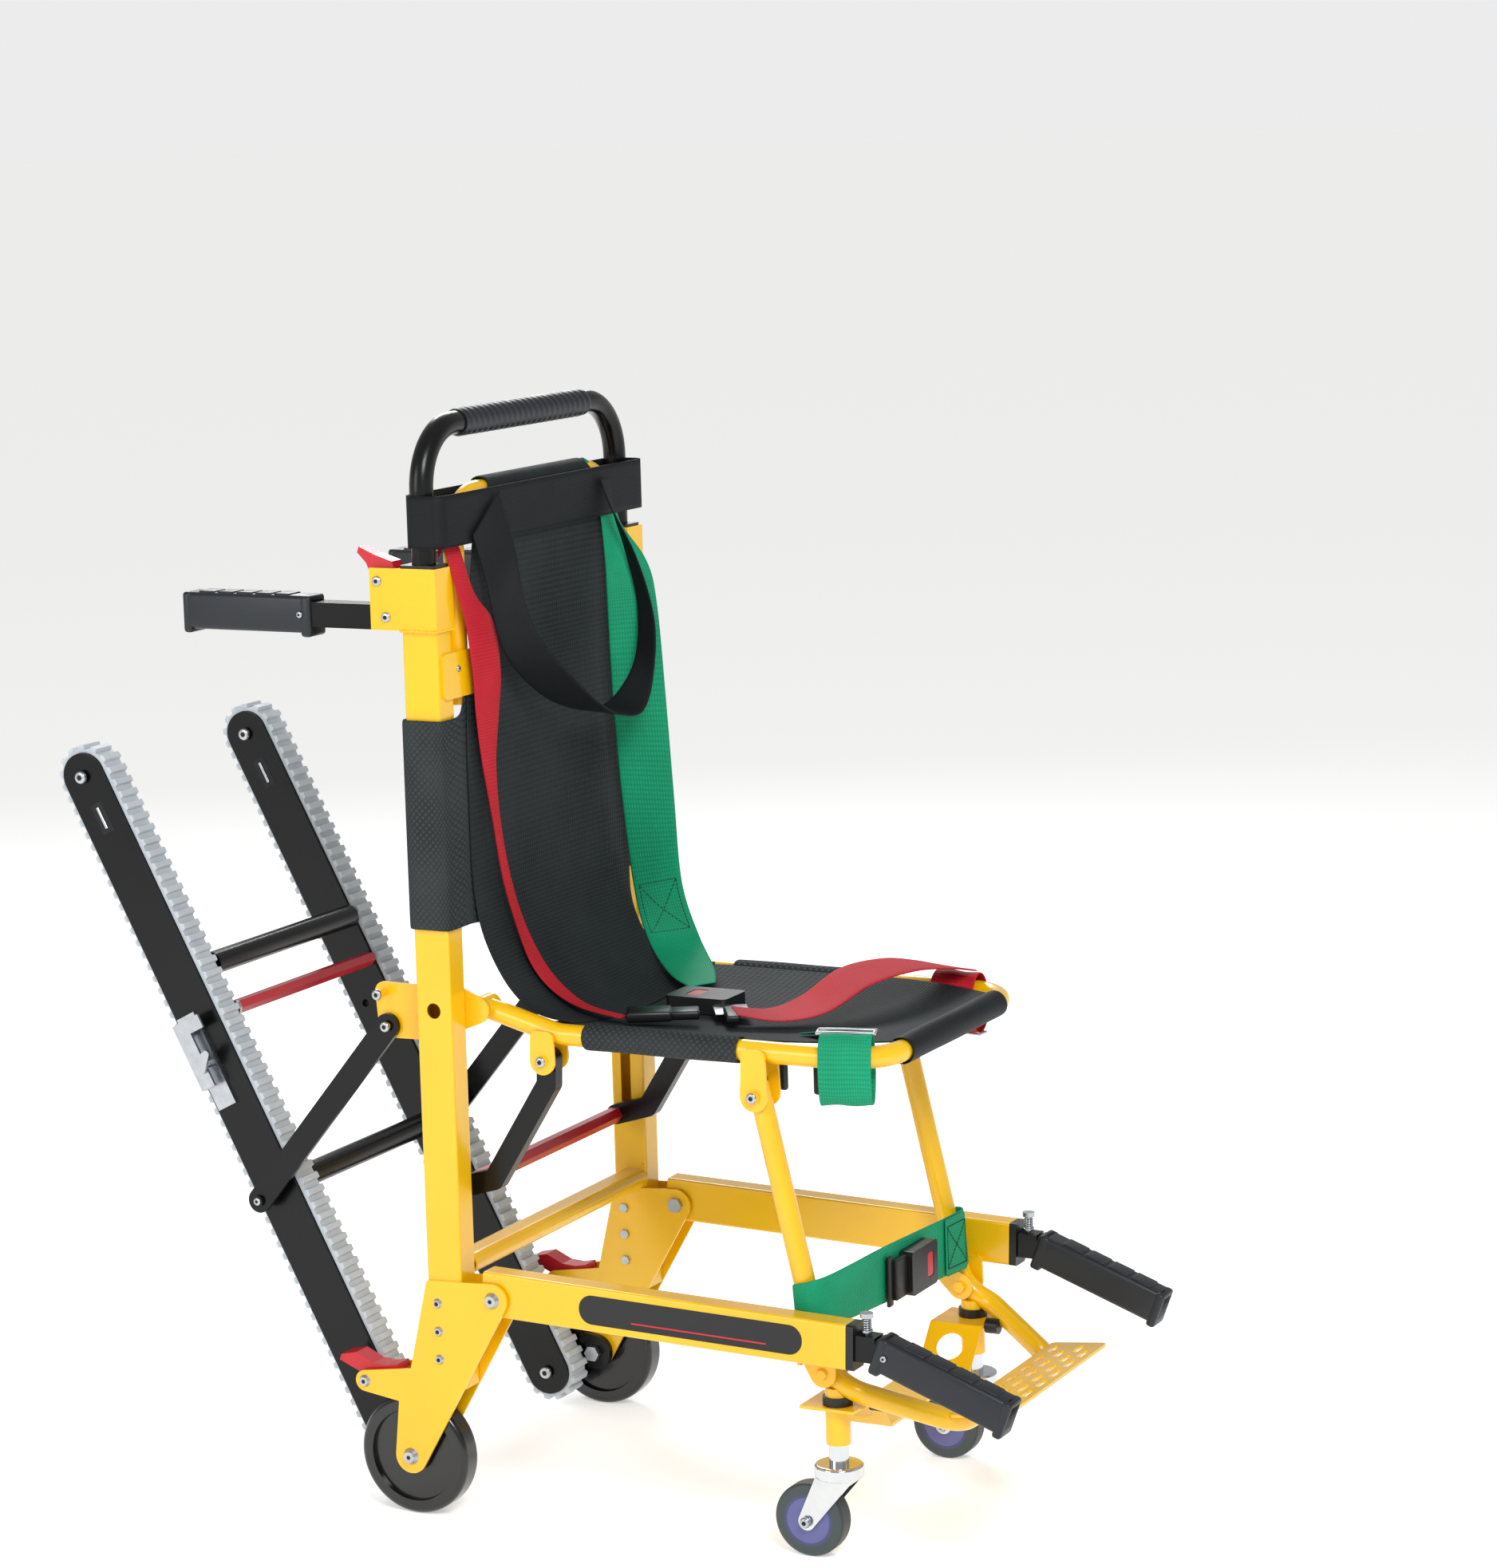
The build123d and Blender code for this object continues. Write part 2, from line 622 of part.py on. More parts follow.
with BuildPart() as left_carry_grip:
    with BuildSketch(grip_plane.offset(2.0)):
        RectangleRounded(carry_grip_w, carry_grip_h, 9.0)
    extrude(amount=carry_grip_l)
    fillet(left_carry_grip.faces().sort_by(Axis.Y)[0].edges(), 3.0)
    with BuildSketch(grip_plane):
        Rectangle(carry_bar_w + running_gap, carry_bar_h + running_gap)
    extrude(amount=carry_grip_l - 9.5, mode=Mode.SUBTRACT)
with BuildPart() as left_lock_knob:
    with BuildSketch(Plane(origin=point(upright_x, knob_y, knob_z - 5.0), x_dir=(1, 0, 0),
                           z_dir=(0, -sin(rail_slope), cos(rail_slope)))):
        Circle(2.6)
    extrude(amount=24.0)
    with BuildSketch(Plane(origin=point(upright_x, knob_y, knob_z + 17.0), x_dir=(1, 0, 0),
                           z_dir=(0, -sin(rail_slope), cos(rail_slope)))):
        Circle(knob_d / 2)
    extrude(amount=4.5)
for side_name, side in SIDES.items():
    with BuildPart() as carry_bar:
        add(one_side(left_carry_bar.part, side))
    save(carry_bar, f"carry_bar_{side_name}")
    with BuildPart() as carry_grip:
        add(one_side(left_carry_grip.part, side))
    save(carry_grip, f"carry_grip_{side_name}")
    with BuildPart() as lock_knob:
        add(one_side(left_lock_knob.part, side))
    save(lock_knob, f"lock_knob_{side_name}")

# Leg frame: one bent tube from the seat's front, past the rail pivots, to the foot plate
toe_x, toe_y, toe_z = leg_toe
head_rise = 12.0
leg_lean = (leg_head[0] - leg_knee[0]) / (leg_head[1] - leg_knee[1])
leg_top = (leg_head[0] + head_rise * leg_lean, leg_head[1] + head_rise)


def leg_hoop(diameter, wall=0):
    """The leg frame's bent tube, or the solid room it takes up."""
    corners = [(linkage_half, *leg_top), (linkage_half, *leg_knee), (linkage_half, *leg_turn), leg_toe]
    mirrored = [(-x, y, z) for x, y, z in reversed(corners)]
    return bent_tube([point(*corner) for corner in corners + mirrored],
                     [50.0, 36.0, 38.0, 38.0, 36.0, 50.0], diameter, wall)


leg_room = leg_hoop(frame_tube_d + 2 * running_gap)
with BuildPart() as leg_frame:
    add(leg_hoop(frame_tube_d, tube_wall))
    add(both_sides(rod(linkage_half - 9.0, linkage_half + 9.0, leg_pivot, 14.0)))
    with BuildSketch(side_plane(-linkage_half - frame_tube_d)):
        with Locations(leg_pivot):
            Circle((pivot_bolt_d + 2 * running_gap) / 2)
    extrude(amount=2 * (linkage_half + frame_tube_d), mode=Mode.SUBTRACT)
save(leg_frame, "leg_frame")

foot_tilt = 6.0
with BuildPart() as foot_plate:
    foot_top = Plane(origin=point(0, toe_y - 2.0, toe_z + frame_tube_d / 2), x_dir=(1, 0, 0),
                       z_dir=(0, sin(radians(foot_tilt)), cos(radians(foot_tilt))))
    with BuildSketch(foot_top):
        with Locations((0, -foot_plate_depth / 2 + 8.0)):
            RectangleRounded(2 * foot_plate_half, foot_plate_depth, 6.0)
        for row, y in enumerate((-4.0, -18.0, -32.0, -44.0)):
            for column in range(-3, 4):
                if row % 2 and column == 3:
                    continue
                with Locations((column * 36.0 + (18.0 if row % 2 else 0.0), y)):
                    SlotOverall(24.0, 6.0, mode=Mode.SUBTRACT)
    extrude(amount=3.0)
    add(leg_room, mode=Mode.SUBTRACT)
save(foot_plate, "foot_plate")

# Caster carrier: two stems on the leg pivots, welded to a dropped cross plate
flange_z = 155.0
drop_z = 117.0
flange_back = -430.0
flange_front = -489.0
with BuildPart() as caster_carrier:
    stem_top_z = leg_pivot[1] - frame_tube_d / 2 - 5.0
    with BuildSketch(Plane.XY.offset(caster_stem_low)):
        with Locations((caster_half, axle_y + caster_stem_y), (-caster_half, axle_y + caster_stem_y)):
            Circle(caster_stem_d / 2)
    extrude(amount=stem_top_z - caster_stem_low)
    with BuildSketch(Plane.XZ.offset(-(axle_y + flange_front))):
        Polygon((184, flange_z), (128, flange_z), (96, drop_z), (-96, drop_z), (-128, flange_z),
                (-184, flange_z), (-184, flange_z + 3), (-129.5, flange_z + 3), (-97.5, drop_z + 3),
                (97.5, drop_z + 3), (129.5, flange_z + 3), (184, flange_z + 3), align=None)
    extrude(amount=-(flange_back - flange_front))
    for side in SIDES.values():
        with BuildSketch(Plane.XY.offset(drop_z)):
            with Locations((side * 113.0, axle_y + (flange_back + flange_front) / 2)):
                Ellipse(10.0, 15.0)
        extrude(amount=flange_z - drop_z + 4.0, mode=Mode.SUBTRACT)
    with BuildSketch(Plane.XY.offset(caster_stem_low)):
        with Locations((caster_half, axle_y + caster_stem_y), (-caster_half, axle_y + caster_stem_y)):
            Circle(6.2)
    extrude(amount=40.0, mode=Mode.SUBTRACT)
    add(leg_room, mode=Mode.SUBTRACT)
save(caster_carrier, "caster_carrier")

# Black plastic plugs: in the tops of the legs, on the caster stems, and the rubber stops by the legs
with BuildPart() as leg_plugs:
    with BuildSketch(Plane(origin=point(linkage_half, *leg_top), z_dir=(0, leg_lean, 1))):
        Circle(frame_tube_d / 2)
    extrude(amount=3.0)
    with BuildSketch(Plane.XY.offset(flange_z + 3.0)):
        with Locations((caster_half, axle_y + caster_stem_y)):
            Circle(caster_stem_d / 2 + 2.5)
            Circle(caster_stem_d / 2 + 0.1, mode=Mode.SUBTRACT)
    extrude(amount=9.0)
    with BuildSketch(Plane(origin=point(142.0, flange_front - 0.1, flange_z + 1.0), z_dir=(0, -1, 0))):
        Circle(8.0)
    extrude(amount=14.0)
    add(leg_room, mode=Mode.SUBTRACT)
    mirror(about=Plane.YZ)
save(leg_plugs, "leg_plugs")

# Casters: swivel fork and wheel each side
raceway_low = caster_wheel_d / 2 + 46.0
fork_t = 2.5
with BuildPart() as left_fork:
    fork_half = caster_wheel_w / 2 + side_gap + fork_t
    with BuildSketch(Plane.XY.offset(raceway_low)):
        with Locations((caster_half, axle_y + caster_stem_y)):
            Circle(25.0)
    extrude(amount=14.0)
    fillet(left_fork.edges().filter_by(GeomType.CIRCLE), 3.0)
    with BuildSketch(Plane.XY.offset(raceway_low + 12.0)):
        with Locations((caster_half, axle_y + caster_stem_y)):
            Circle(10.0)
    extrude(amount=caster_stem_low - raceway_low - 12.0 - running_gap)
    with BuildSketch(Plane.XY.offset(caster_stem_low - 5.0)):
        with Locations((caster_half, axle_y + caster_stem_y)):
            Circle(6.0)
    extrude(amount=36.0)
    wheel_centre = (caster_stem_y + caster_trail, caster_wheel_d / 2)
    for cheek_x in (caster_half - fork_half, caster_half + fork_half - fork_t):
        add(lobed_plate(cheek_x, fork_t, (*wheel_centre, 9.0), (caster_stem_y - 14.0, raceway_low - 1.0, 4.0),
                        (caster_stem_y + 16.0, raceway_low - 1.0, 4.0)))
    with BuildSketch(Plane.XY.offset(raceway_low - 4.0)):
        with Locations((caster_half, axle_y + caster_stem_y)):
            Rectangle(2 * fork_half, 34.0)
    extrude(amount=5.0)
    add(rod(caster_half - fork_half - 3.0, caster_half + fork_half + 3.0, wheel_centre, pivot_bolt_d))
with BuildPart() as left_caster_wheel:
    with BuildSketch(side_plane(caster_half - caster_wheel_w / 2)):
        with Locations(wheel_centre):
            Circle(caster_wheel_d / 2)
    extrude(amount=caster_wheel_w)
    fillet(left_caster_wheel.edges().filter_by(GeomType.CIRCLE), 5.0)
    with BuildSketch(side_plane(caster_half - caster_wheel_w / 2)):
        with Locations(wheel_centre):
            Circle((pivot_bolt_d + running_gap) / 2)
    extrude(amount=caster_wheel_w, mode=Mode.SUBTRACT)
for side_name, side in SIDES.items():
    with BuildPart() as caster_fork:
        add(one_side(left_fork.part, side))
    save(caster_fork, f"caster_fork_{side_name}")
    with BuildPart() as caster_wheel:
        add(one_side(left_caster_wheel.part, side))
    save(caster_wheel, f"caster_wheel_{side_name}")

# Ankle strap round the legs, with its buckle and press button
ankle_low = 226.0
ankle_y = -463.0
with BuildPart() as ankle_strap:
    strap_half = linkage_half + 12.0
    add(box_between((-strap_half, ankle_y, ankle_low), (strap_half, ankle_y + webbing_t, ankle_low + webbing_w)))
save(ankle_strap, "ankle_strap")
buckle_w, buckle_h, buckle_t = 62.0, 46.0, 15.0
with BuildPart() as ankle_buckle:
    add(box_between((-16, ankle_y - buckle_t, ankle_low + 2), (-16 + buckle_w, ankle_y, ankle_low + 2 + buckle_h)))
    fillet(ankle_buckle.edges().filter_by(Axis.Y), 5.0)
    with BuildSketch(Plane.XZ.offset(-(axle_y + ankle_y - buckle_t))):
        with Locations((29.0, ankle_low + 2 + buckle_h / 2)):
            RectangleRounded(15.0, 26.0, 4.0)
    extrude(amount=-7.0, mode=Mode.SUBTRACT)
save(ankle_buckle, "ankle_buckle")
with BuildPart() as ankle_button:
    with BuildSketch(Plane.XZ.offset(-(axle_y + ankle_y - buckle_t + 0.5))):
        with Locations((29.0, ankle_low + 2 + buckle_h / 2)):
            RectangleRounded(14.0, 25.0, 3.5)
    extrude(amount=-4.0)
save(ankle_button, "ankle_button")

# Seat frame: a bent hoop with ears for the struts and the legs
seat_eye_r = frame_tube_d / 2 + 1.5
seat_eye_w = frame_tube_d + 1.0
with BuildPart() as seat_hoop:
    seat_corners = [point(-linkage_half, *seat_pivot), point(-linkage_half, seat_bend_y, seat_z),
                    point(-linkage_half, seat_front_y, seat_z), point(linkage_half, seat_front_y, seat_z),
                    point(linkage_half, seat_bend_y, seat_z), point(linkage_half, *seat_pivot)]
    add(bent_tube(seat_corners, [60.0, seat_corner_r, seat_corner_r, 60.0], frame_tube_d, tube_wall))
with BuildPart() as seat_ears:
    with BuildSketch(side_plane(linkage_half - seat_eye_w / 2)):
        with Locations(seat_pivot):
            Circle(seat_eye_r)
    extrude(amount=seat_eye_w)
    for head, ear_w in ((leg_head, 15.0), (strut_head, 14.0)):
        for cheek_x in (clevis_out, clevis_in - cheek_t):
            add(lobed_plate(cheek_x, cheek_t, (*head, ear_w), (head[0] - 6, seat_z - 2, 7.0),
                            (head[0] + 6, seat_z - 2, 7.0)))
            inward = 1 if cheek_x > linkage_half else -1
            tube_side = linkage_half + inward * (frame_tube_d / 2 - 4.0)
            far_side = cheek_x + (cheek_t if inward > 0 else 0)
            add(box_between((min(tube_side, far_side), head[0] - 12.0, seat_z - 5.0),
                            (max(tube_side, far_side), head[0] + 12.0, seat_z + 1.0)))
    add(rod(clevis_out + cheek_t, clevis_out + cheek_t + 4.0, leg_head, 13.0))
    add(rod(clevis_in - cheek_t - 4.0, clevis_in - cheek_t, leg_head, 13.0))
    add(bolt(clevis_out + cheek_t, clevis_in - cheek_t, strut_head, pivot_bolt_d, 12.0, 3.0, 4.0))
    mirror(about=Plane.YZ)
with BuildPart() as seat_frame:
    add(seat_hoop.part)
    add(seat_ears.part)
    with BuildSketch(side_plane(-inner_face)):
        with Locations(seat_pivot):
            Circle((pivot_bolt_d + 2 * running_gap) / 2)
    extrude(amount=2 * inner_face, mode=Mode.SUBTRACT)
save(seat_frame, "seat_frame")

# Seat sling: fabric between the seat tubes
sling_t = 3.0
sling_half = clevis_in - cheek_t - 2.0
with BuildPart() as seat_sling:
    sling_low = seat_z - 7.0
    add(box_between((-sling_half, seat_front_y + 13.0, sling_low), (sling_half, -112.0, sling_low + sling_t)))
    fillet(seat_sling.edges().filter_by(Axis.Z).group_by(Axis.Y)[0], 42.0)
save(seat_sling, "seat_sling")

# Back sling: one panel down the back, with wings round the uprights
wing_low = 617.0
wing_high = 830.0
with BuildPart() as back_sling:
    back_y = upright_y - upright_depth / 2 - 2 * running_gap
    back_face = arch_y - arch_tube_d / 2 - running_gap
    add(box_between((-arch_half + 12.0, back_face - sling_t, 560.0), (arch_half - 12.0, back_face, arch_top_z)))
    add(box_between((-upright_x - 16.0, back_y - sling_t, wing_low), (upright_x + 16.0, back_y, wing_high)))
    add(both_sides(box_between((plate_outer_x + running_gap, back_y - sling_t, wing_low),
                               (plate_outer_x + running_gap + 2.0, upright_y + 15.0, wing_high))))
save(back_sling, "back_sling")

# Shoulder straps on the back panel
strap_y = back_face - sling_t - running_gap
with BuildPart() as shoulder_strap_red:
    add(box_between((-132.0, strap_y - webbing_t, 575.0), (-132.0 + 32.0, strap_y, 925.0)))
save(shoulder_strap_red, "shoulder_strap_red")
with BuildPart() as shoulder_strap_green:
    add(box_between((92.0, strap_y - webbing_t, 575.0), (92.0 + webbing_w, strap_y, 925.0)))
save(shoulder_strap_green, "shoulder_strap_green")

# Lap straps, the harness buckle and its press button on the seat
lap_z = sling_low + sling_t + running_gap
with BuildPart() as lap_straps:
    add(box_between((-sling_half, -400.0, lap_z), (-40.0, -350.0, lap_z + webbing_t)))
    add(box_between((20.0, -360.0, lap_z), (sling_half, -310.0, lap_z + webbing_t)))
save(lap_straps, "lap_straps")
with BuildPart() as harness_buckle:
    buckle_y = -275.0
    add(box_between((-20, buckle_y, lap_z), (30, buckle_y + 70.0, lap_z + 17.0)))
    fillet(harness_buckle.edges().filter_by(Axis.Z), 6.0)
    with BuildSketch(Plane.XY.offset(lap_z + 17.0)):
        with Locations((5.0, axle_y + buckle_y + 45.0)):
            RectangleRounded(26.0, 16.0, 4.0)
    extrude(amount=-7.0, mode=Mode.SUBTRACT)
save(harness_buckle, "harness_buckle")
with BuildPart() as harness_button:
    with BuildSketch(Plane.XY.offset(lap_z + 16.5)):
        with Locations((5.0, axle_y + buckle_y + 45.0)):
            RectangleRounded(25.0, 15.0, 3.5)
    extrude(amount=-4.0)
save(harness_button, "harness_button")

# Struts: bent arms from the seat ears to the slots, joined by the red lock bar
strut_t = 14.0
strut_w = 22.0
with BuildPart() as strut_arms:
    strut_knee = (-84.0, 352.0)
    strut_neck = (-149.0, 456.0)
    for start, end in ((strut_head, strut_neck), (strut_neck, strut_knee), (strut_knee, strut_foot)):
        add(lobed_plate(linkage_half - strut_t / 2, strut_t, (*start, strut_w / 2), (*end, strut_w / 2)))
    add(rod(linkage_half, inner_face - side_gap, strut_foot, 9.0))
    with BuildSketch(side_plane(linkage_half - strut_t)):
        with Locations(strut_head):
            Circle((pivot_bolt_d + 2 * running_gap) / 2)
    extrude(amount=2 * strut_t, mode=Mode.SUBTRACT)
    mirror(about=Plane.YZ)
save(strut_arms, "strut_arms")
with BuildPart() as strut_lock_bar:
    bar_half = linkage_half - strut_t / 2
    with BuildSketch(side_plane(-bar_half)):
        with Locations(strut_foot):
            RegularPolygon(9.0, 6)
    extrude(amount=2 * bar_half)
save(strut_lock_bar, "strut_lock_bar")

# Stair tracks: two beams joined by cross bars, hinged on the rear axles
track_run = (track_top[0] - track_bottom[0], track_top[1] - track_bottom[1])
track_length = hypot(*track_run)
track_up = (track_run[0] / track_length, track_run[1] / track_length)
bar_upper = (273.0, 544.0)
bar_lower = (173.0, 321.0)


def on_track(distance, rear=0.0):
    """The side-view place at a distance up the belt's centre line from the bottom pulley."""
    return (track_bottom[0] + distance * track_up[0] + rear * track_up[1],
            track_bottom[1] + distance * track_up[1] - rear * track_up[0])


core_start = 34.0
core_half = belt_inner_r - 3.0
core_wall = 3.0
with BuildPart() as track_beams:
    plate_in = track_half - belt_w / 2 - side_gap - plate_t
    plate_out = track_half + belt_w / 2 + side_gap
    for x0 in (plate_in, plate_out):
        add(lobed_plate(x0, plate_t, (*track_top, track_beam_half_w), (*track_bottom, track_beam_half_w),
                        holes=[(*track_top, pivot_bolt_d + running_gap), (*track_bottom, pivot_bolt_d + running_gap)]))
    for outer, inner in ((core_half, core_half - core_wall), (core_wall - core_half, -core_half)):
        core_end = track_length - core_start
        strip = [on_track(core_start, outer), on_track(core_start, inner), on_track(core_end, inner),
                 on_track(core_end, outer)]
        add(side_block(plate_in + plate_t, plate_out, strip))
    lug_x = track_outer_x
    add(lobed_plate(lug_x, hinge_lug_t, (*axle_centre, 19.0), (*on_track(31.0), 17.0)))
    mirror(about=Plane.YZ)
    for bar in (bar_upper, bar_lower):
        add(rod(-plate_in, plate_in, bar, 25.0))
    with BuildSketch(side_plane(-plate_inner_x)):
        with Locations(axle_centre):
            Circle((rear_axle_d + 2 * running_gap) / 2)
        with Locations(latch_pivot):
            Circle((pivot_bolt_d + 2 * running_gap) / 2)
    extrude(amount=2 * plate_inner_x, mode=Mode.SUBTRACT)
save(track_beams, "track_beams")

with BuildPart() as track_belts:
    with BuildSketch(side_plane(track_half - belt_w / 2)):
        for radius, mode in ((belt_outer_r, Mode.ADD), (belt_inner_r, Mode.SUBTRACT)):
            with Locations(((track_top[0] + track_bottom[0]) / 2, (track_top[1] + track_bottom[1]) / 2)):
                SlotCenterToCenter(track_length, 2 * radius, rotation=degrees(atan2(track_run[1], track_run[0])),
                                   mode=mode)
    extrude(amount=belt_w)
    mirror(about=Plane.YZ)
save(track_belts, "track_belts")

for pulley_name, centre in (("top_pulleys", track_top), ("bottom_pulleys", track_bottom)):
    with BuildPart() as pulleys:
        add(rod(track_half - belt_w / 2, track_half + belt_w / 2, centre, 2 * (belt_inner_r - running_gap)))
        add(rod(plate_in - 3.0, track_outer_x + 3.0, centre, pivot_bolt_d))
        mirror(about=Plane.YZ)
    save(pulleys, pulley_name)

# Track latch on the right beam: fixed jaw plate, and a pawl that turns with the red release bar
latch_gap = 3.0
jaw_x = link_x
with BuildPart() as latch_jaw:
    add(side_block(track_outer_x, track_outer_x + latch_gap, [on_track(405.0, -2), on_track(405.0, 22),
                                                              on_track(510.0, 22), on_track(510.0, -2)]))
    add(side_block(track_outer_x + latch_gap, jaw_x, [on_track(430.0, 10), on_track(430.0, 22),
                                                      on_track(505.0, 22), on_track(505.0, 10)]))
    add(side_block(jaw_x, jaw_x + 3.0, [on_track(430.0, 4), on_track(430.0, 22), on_track(505.0, 22),
                                        on_track(505.0, -14), on_track(490.0, -14), on_track(490.0, 4)]))
    with BuildSketch(side_plane(track_outer_x - side_gap)):
        with Locations(latch_pivot):
            Circle((pivot_bolt_d + 2 * running_gap) / 2)
    extrude(amount=20.0, mode=Mode.SUBTRACT)
with BuildPart() as track_latch:
    add(one_side(latch_jaw.part, -1))
save(track_latch, "track_latch")

arm_t = 4.0
with BuildPart() as release_pawl:
    add(rod(plate_in - side_gap - arm_t, jaw_x + 5.5, latch_pivot, pivot_bolt_d))
    add(lobed_plate(jaw_x + 5.5, 3.0, (*latch_pivot, 9.0), (*on_track(463.0, -6.0), 4.0)))
    add(lobed_plate(plate_in - side_gap - arm_t, arm_t, (*latch_pivot, 9.0), (*release_bar, 8.0)))
with BuildPart() as latch_pawl:
    add(one_side(release_pawl.part, -1))
save(latch_pawl, "latch_pawl")
with BuildPart() as track_release_bar:
    release_half = plate_in - side_gap - arm_t
    with BuildSketch(side_plane(-release_half)):
        with Locations(release_bar):
            RegularPolygon(8.0, 6)
    extrude(amount=2 * release_half + arm_t)
save(track_release_bar, "track_release_bar")

# Track links: flat bars that hold the tracks out, pivoted on the hangers
with BuildPart() as track_links:
    add(lobed_plate(link_x, link_t, (*link_top, 13.0), (*link_foot, 13.0),
                    holes=[(*link_top, pivot_bolt_d + 2 * running_gap)]))
    add(rod(track_outer_x + side_gap, link_x, link_foot, 12.0))
    add(rod(link_x + link_t, link_x + link_t + 3.5, link_foot, 12.0))
    mirror(about=Plane.YZ)
save(track_links, "track_links")
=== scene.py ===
from math import atan2, cos, pi, radians, sin

import bmesh
import bpy
from mathutils import Matrix, Vector


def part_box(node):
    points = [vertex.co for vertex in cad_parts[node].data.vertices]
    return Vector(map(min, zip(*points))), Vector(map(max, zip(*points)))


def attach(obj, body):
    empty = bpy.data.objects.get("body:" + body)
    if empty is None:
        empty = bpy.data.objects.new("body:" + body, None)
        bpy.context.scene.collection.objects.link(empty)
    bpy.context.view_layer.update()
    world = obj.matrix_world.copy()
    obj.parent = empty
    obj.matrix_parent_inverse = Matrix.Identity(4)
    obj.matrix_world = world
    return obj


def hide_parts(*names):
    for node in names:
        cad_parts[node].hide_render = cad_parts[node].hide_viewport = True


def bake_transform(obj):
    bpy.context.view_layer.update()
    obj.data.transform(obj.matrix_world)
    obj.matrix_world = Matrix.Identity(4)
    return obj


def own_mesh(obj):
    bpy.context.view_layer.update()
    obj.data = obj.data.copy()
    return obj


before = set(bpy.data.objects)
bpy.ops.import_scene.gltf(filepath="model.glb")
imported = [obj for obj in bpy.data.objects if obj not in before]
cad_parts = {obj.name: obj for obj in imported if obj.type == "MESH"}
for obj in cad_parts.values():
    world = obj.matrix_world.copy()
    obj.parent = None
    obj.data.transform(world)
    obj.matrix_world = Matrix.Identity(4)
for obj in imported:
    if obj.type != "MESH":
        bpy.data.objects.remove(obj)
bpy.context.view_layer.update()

# The welded frame: drawn aluminium tube and folded plate in a glossy yellow powder coat. The coat is a
# little darker where it pools at the welds, and has a faint orange peel that breaks up its highlights.
mm = 0.001
yellow_nodes = ("upright_left", "upright_right", "wheel_plates", "cross_tube", "back_arch",
                "frame_brackets", "track_hangers", "rail_left", "rail_right", "leg_frame",
                "foot_plate", "caster_carrier", "seat_frame")
coat_light = "F7C706"
coat_dark = "EBAE02"


def hex_colour(code):
    """An sRGB hex value as the linear colour a shader takes."""
    parts = [int(code[i:i + 2], 16) / 255 for i in (0, 2, 4)]
    return (*(p / 12.92 if p <= 0.04045 else ((p + 0.055) / 1.055) ** 2.4 for p in parts), 1.0)


def add_node(material, kind, inputs=None, **settings):
    """Adds a shader node; inputs maps a socket to a value or to another node's output."""
    node = material.node_tree.nodes.new(kind)
    for name, value in settings.items():
        setattr(node, name, value)
    for socket, value in (inputs or {}).items():
        if isinstance(value, bpy.types.NodeSocket):
            material.node_tree.links.new(value, node.inputs[socket])
        else:
            node.inputs[socket].default_value = value
    return node


def new_finish(name, roughness, metallic=0.0, **extra):
    """A material with only its shader set; extra are more of the shader's own sockets."""
    material = bpy.data.materials.new(name)
    material.use_nodes = True
    shader = material.node_tree.nodes["Principled BSDF"]
    shader.inputs["Roughness"].default_value = roughness
    shader.inputs["Metallic"].default_value = metallic
    for socket, value in extra.items():
        shader.inputs[socket.replace("_", " ")].default_value = value
    return material, shader


def grained_finish(name, light, dark, patch_mm, grain_mm, grain_depth_mm, roughness, metallic=0.0, **extra):
    """A finish that drifts between two colours over patches and has a fine grain in its surface."""
    material, shader = new_finish(name, roughness, metallic, **extra)
    place = add_node(material, "ShaderNodeTexCoord").outputs["Object"]
    patches = add_node(material, "ShaderNodeTexNoise", {"Vector": place, "Scale": 1 / (patch_mm * mm),
                                                        "Detail": 3.0})
    colour = add_node(material, "ShaderNodeMix", {0: patches.outputs[0], 6: hex_colour(light),
                                                  7: hex_colour(dark)}, data_type="RGBA")
    grain = add_node(material, "ShaderNodeTexNoise", {"Vector": place, "Scale": 1 / (grain_mm * mm),
                                                      "Detail": 2.0})
    bump = add_node(material, "ShaderNodeBump", {"Height": grain.outputs[0], "Distance": grain_depth_mm * mm})
    gloss = add_node(material, "ShaderNodeMapRange", {0: patches.outputs[0], 3: roughness * 0.8,
                                                      4: roughness * 1.25})
    links = material.node_tree.links
    links.new(colour.outputs[2], shader.inputs["Base Color"])
    links.new(bump.outputs[0], shader.inputs["Normal"])
    links.new(gloss.outputs[0], shader.inputs["Roughness"])
    return material


def coat_nodes(material, *names):
    for name in names:
        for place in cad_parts[name].material_slots:
            place.material = material


yellow_powder_coat = grained_finish("yellow_powder_coat", coat_light, coat_dark, 160, 5, 0.12, 0.26,
                                    Coat_Weight=0.4, Coat_Roughness=0.12)
coat_nodes(yellow_powder_coat, *yellow_nodes)

# The sliding hoop, carrying bars, struts, track beams and links: the same tube and bar in a satin black
# coat. It shows soft, wide highlights and is slightly browner where hands have polished it.
black_coat = grained_finish("satin_black_coat", "040405", "090A0B", 120, 4, 0.08, 0.25,
                            Specular_IOR_Level=0.3)
coat_nodes(black_coat, "handle_tube", "rear_bar_left", "rear_bar_right", "carry_bar_left",
           "carry_bar_right", "strut_arms", "track_beams", "track_links")

# Red lock bars and release levers: hex bar under a red powder coat, and moulded ABS levers, pedals and
# buttons. The mouldings have a soft gloss and a very fine texture.
red_coat = grained_finish("red_coat", "C5202F", "A81624", 60, 4, 0.06, 0.3, Coat_Weight=0.3)
coat_nodes(red_coat, "strut_lock_bar", "track_release_bar")
red_moulding = grained_finish("red_abs_moulding", "CE1D2C", "B01422", 40, 1.2, 0.03, 0.32)
coat_nodes(red_moulding, "rear_lever_left", "rear_lever_right", "brake_pedal_left", "brake_pedal_right",
           "harness_button", "ankle_button")

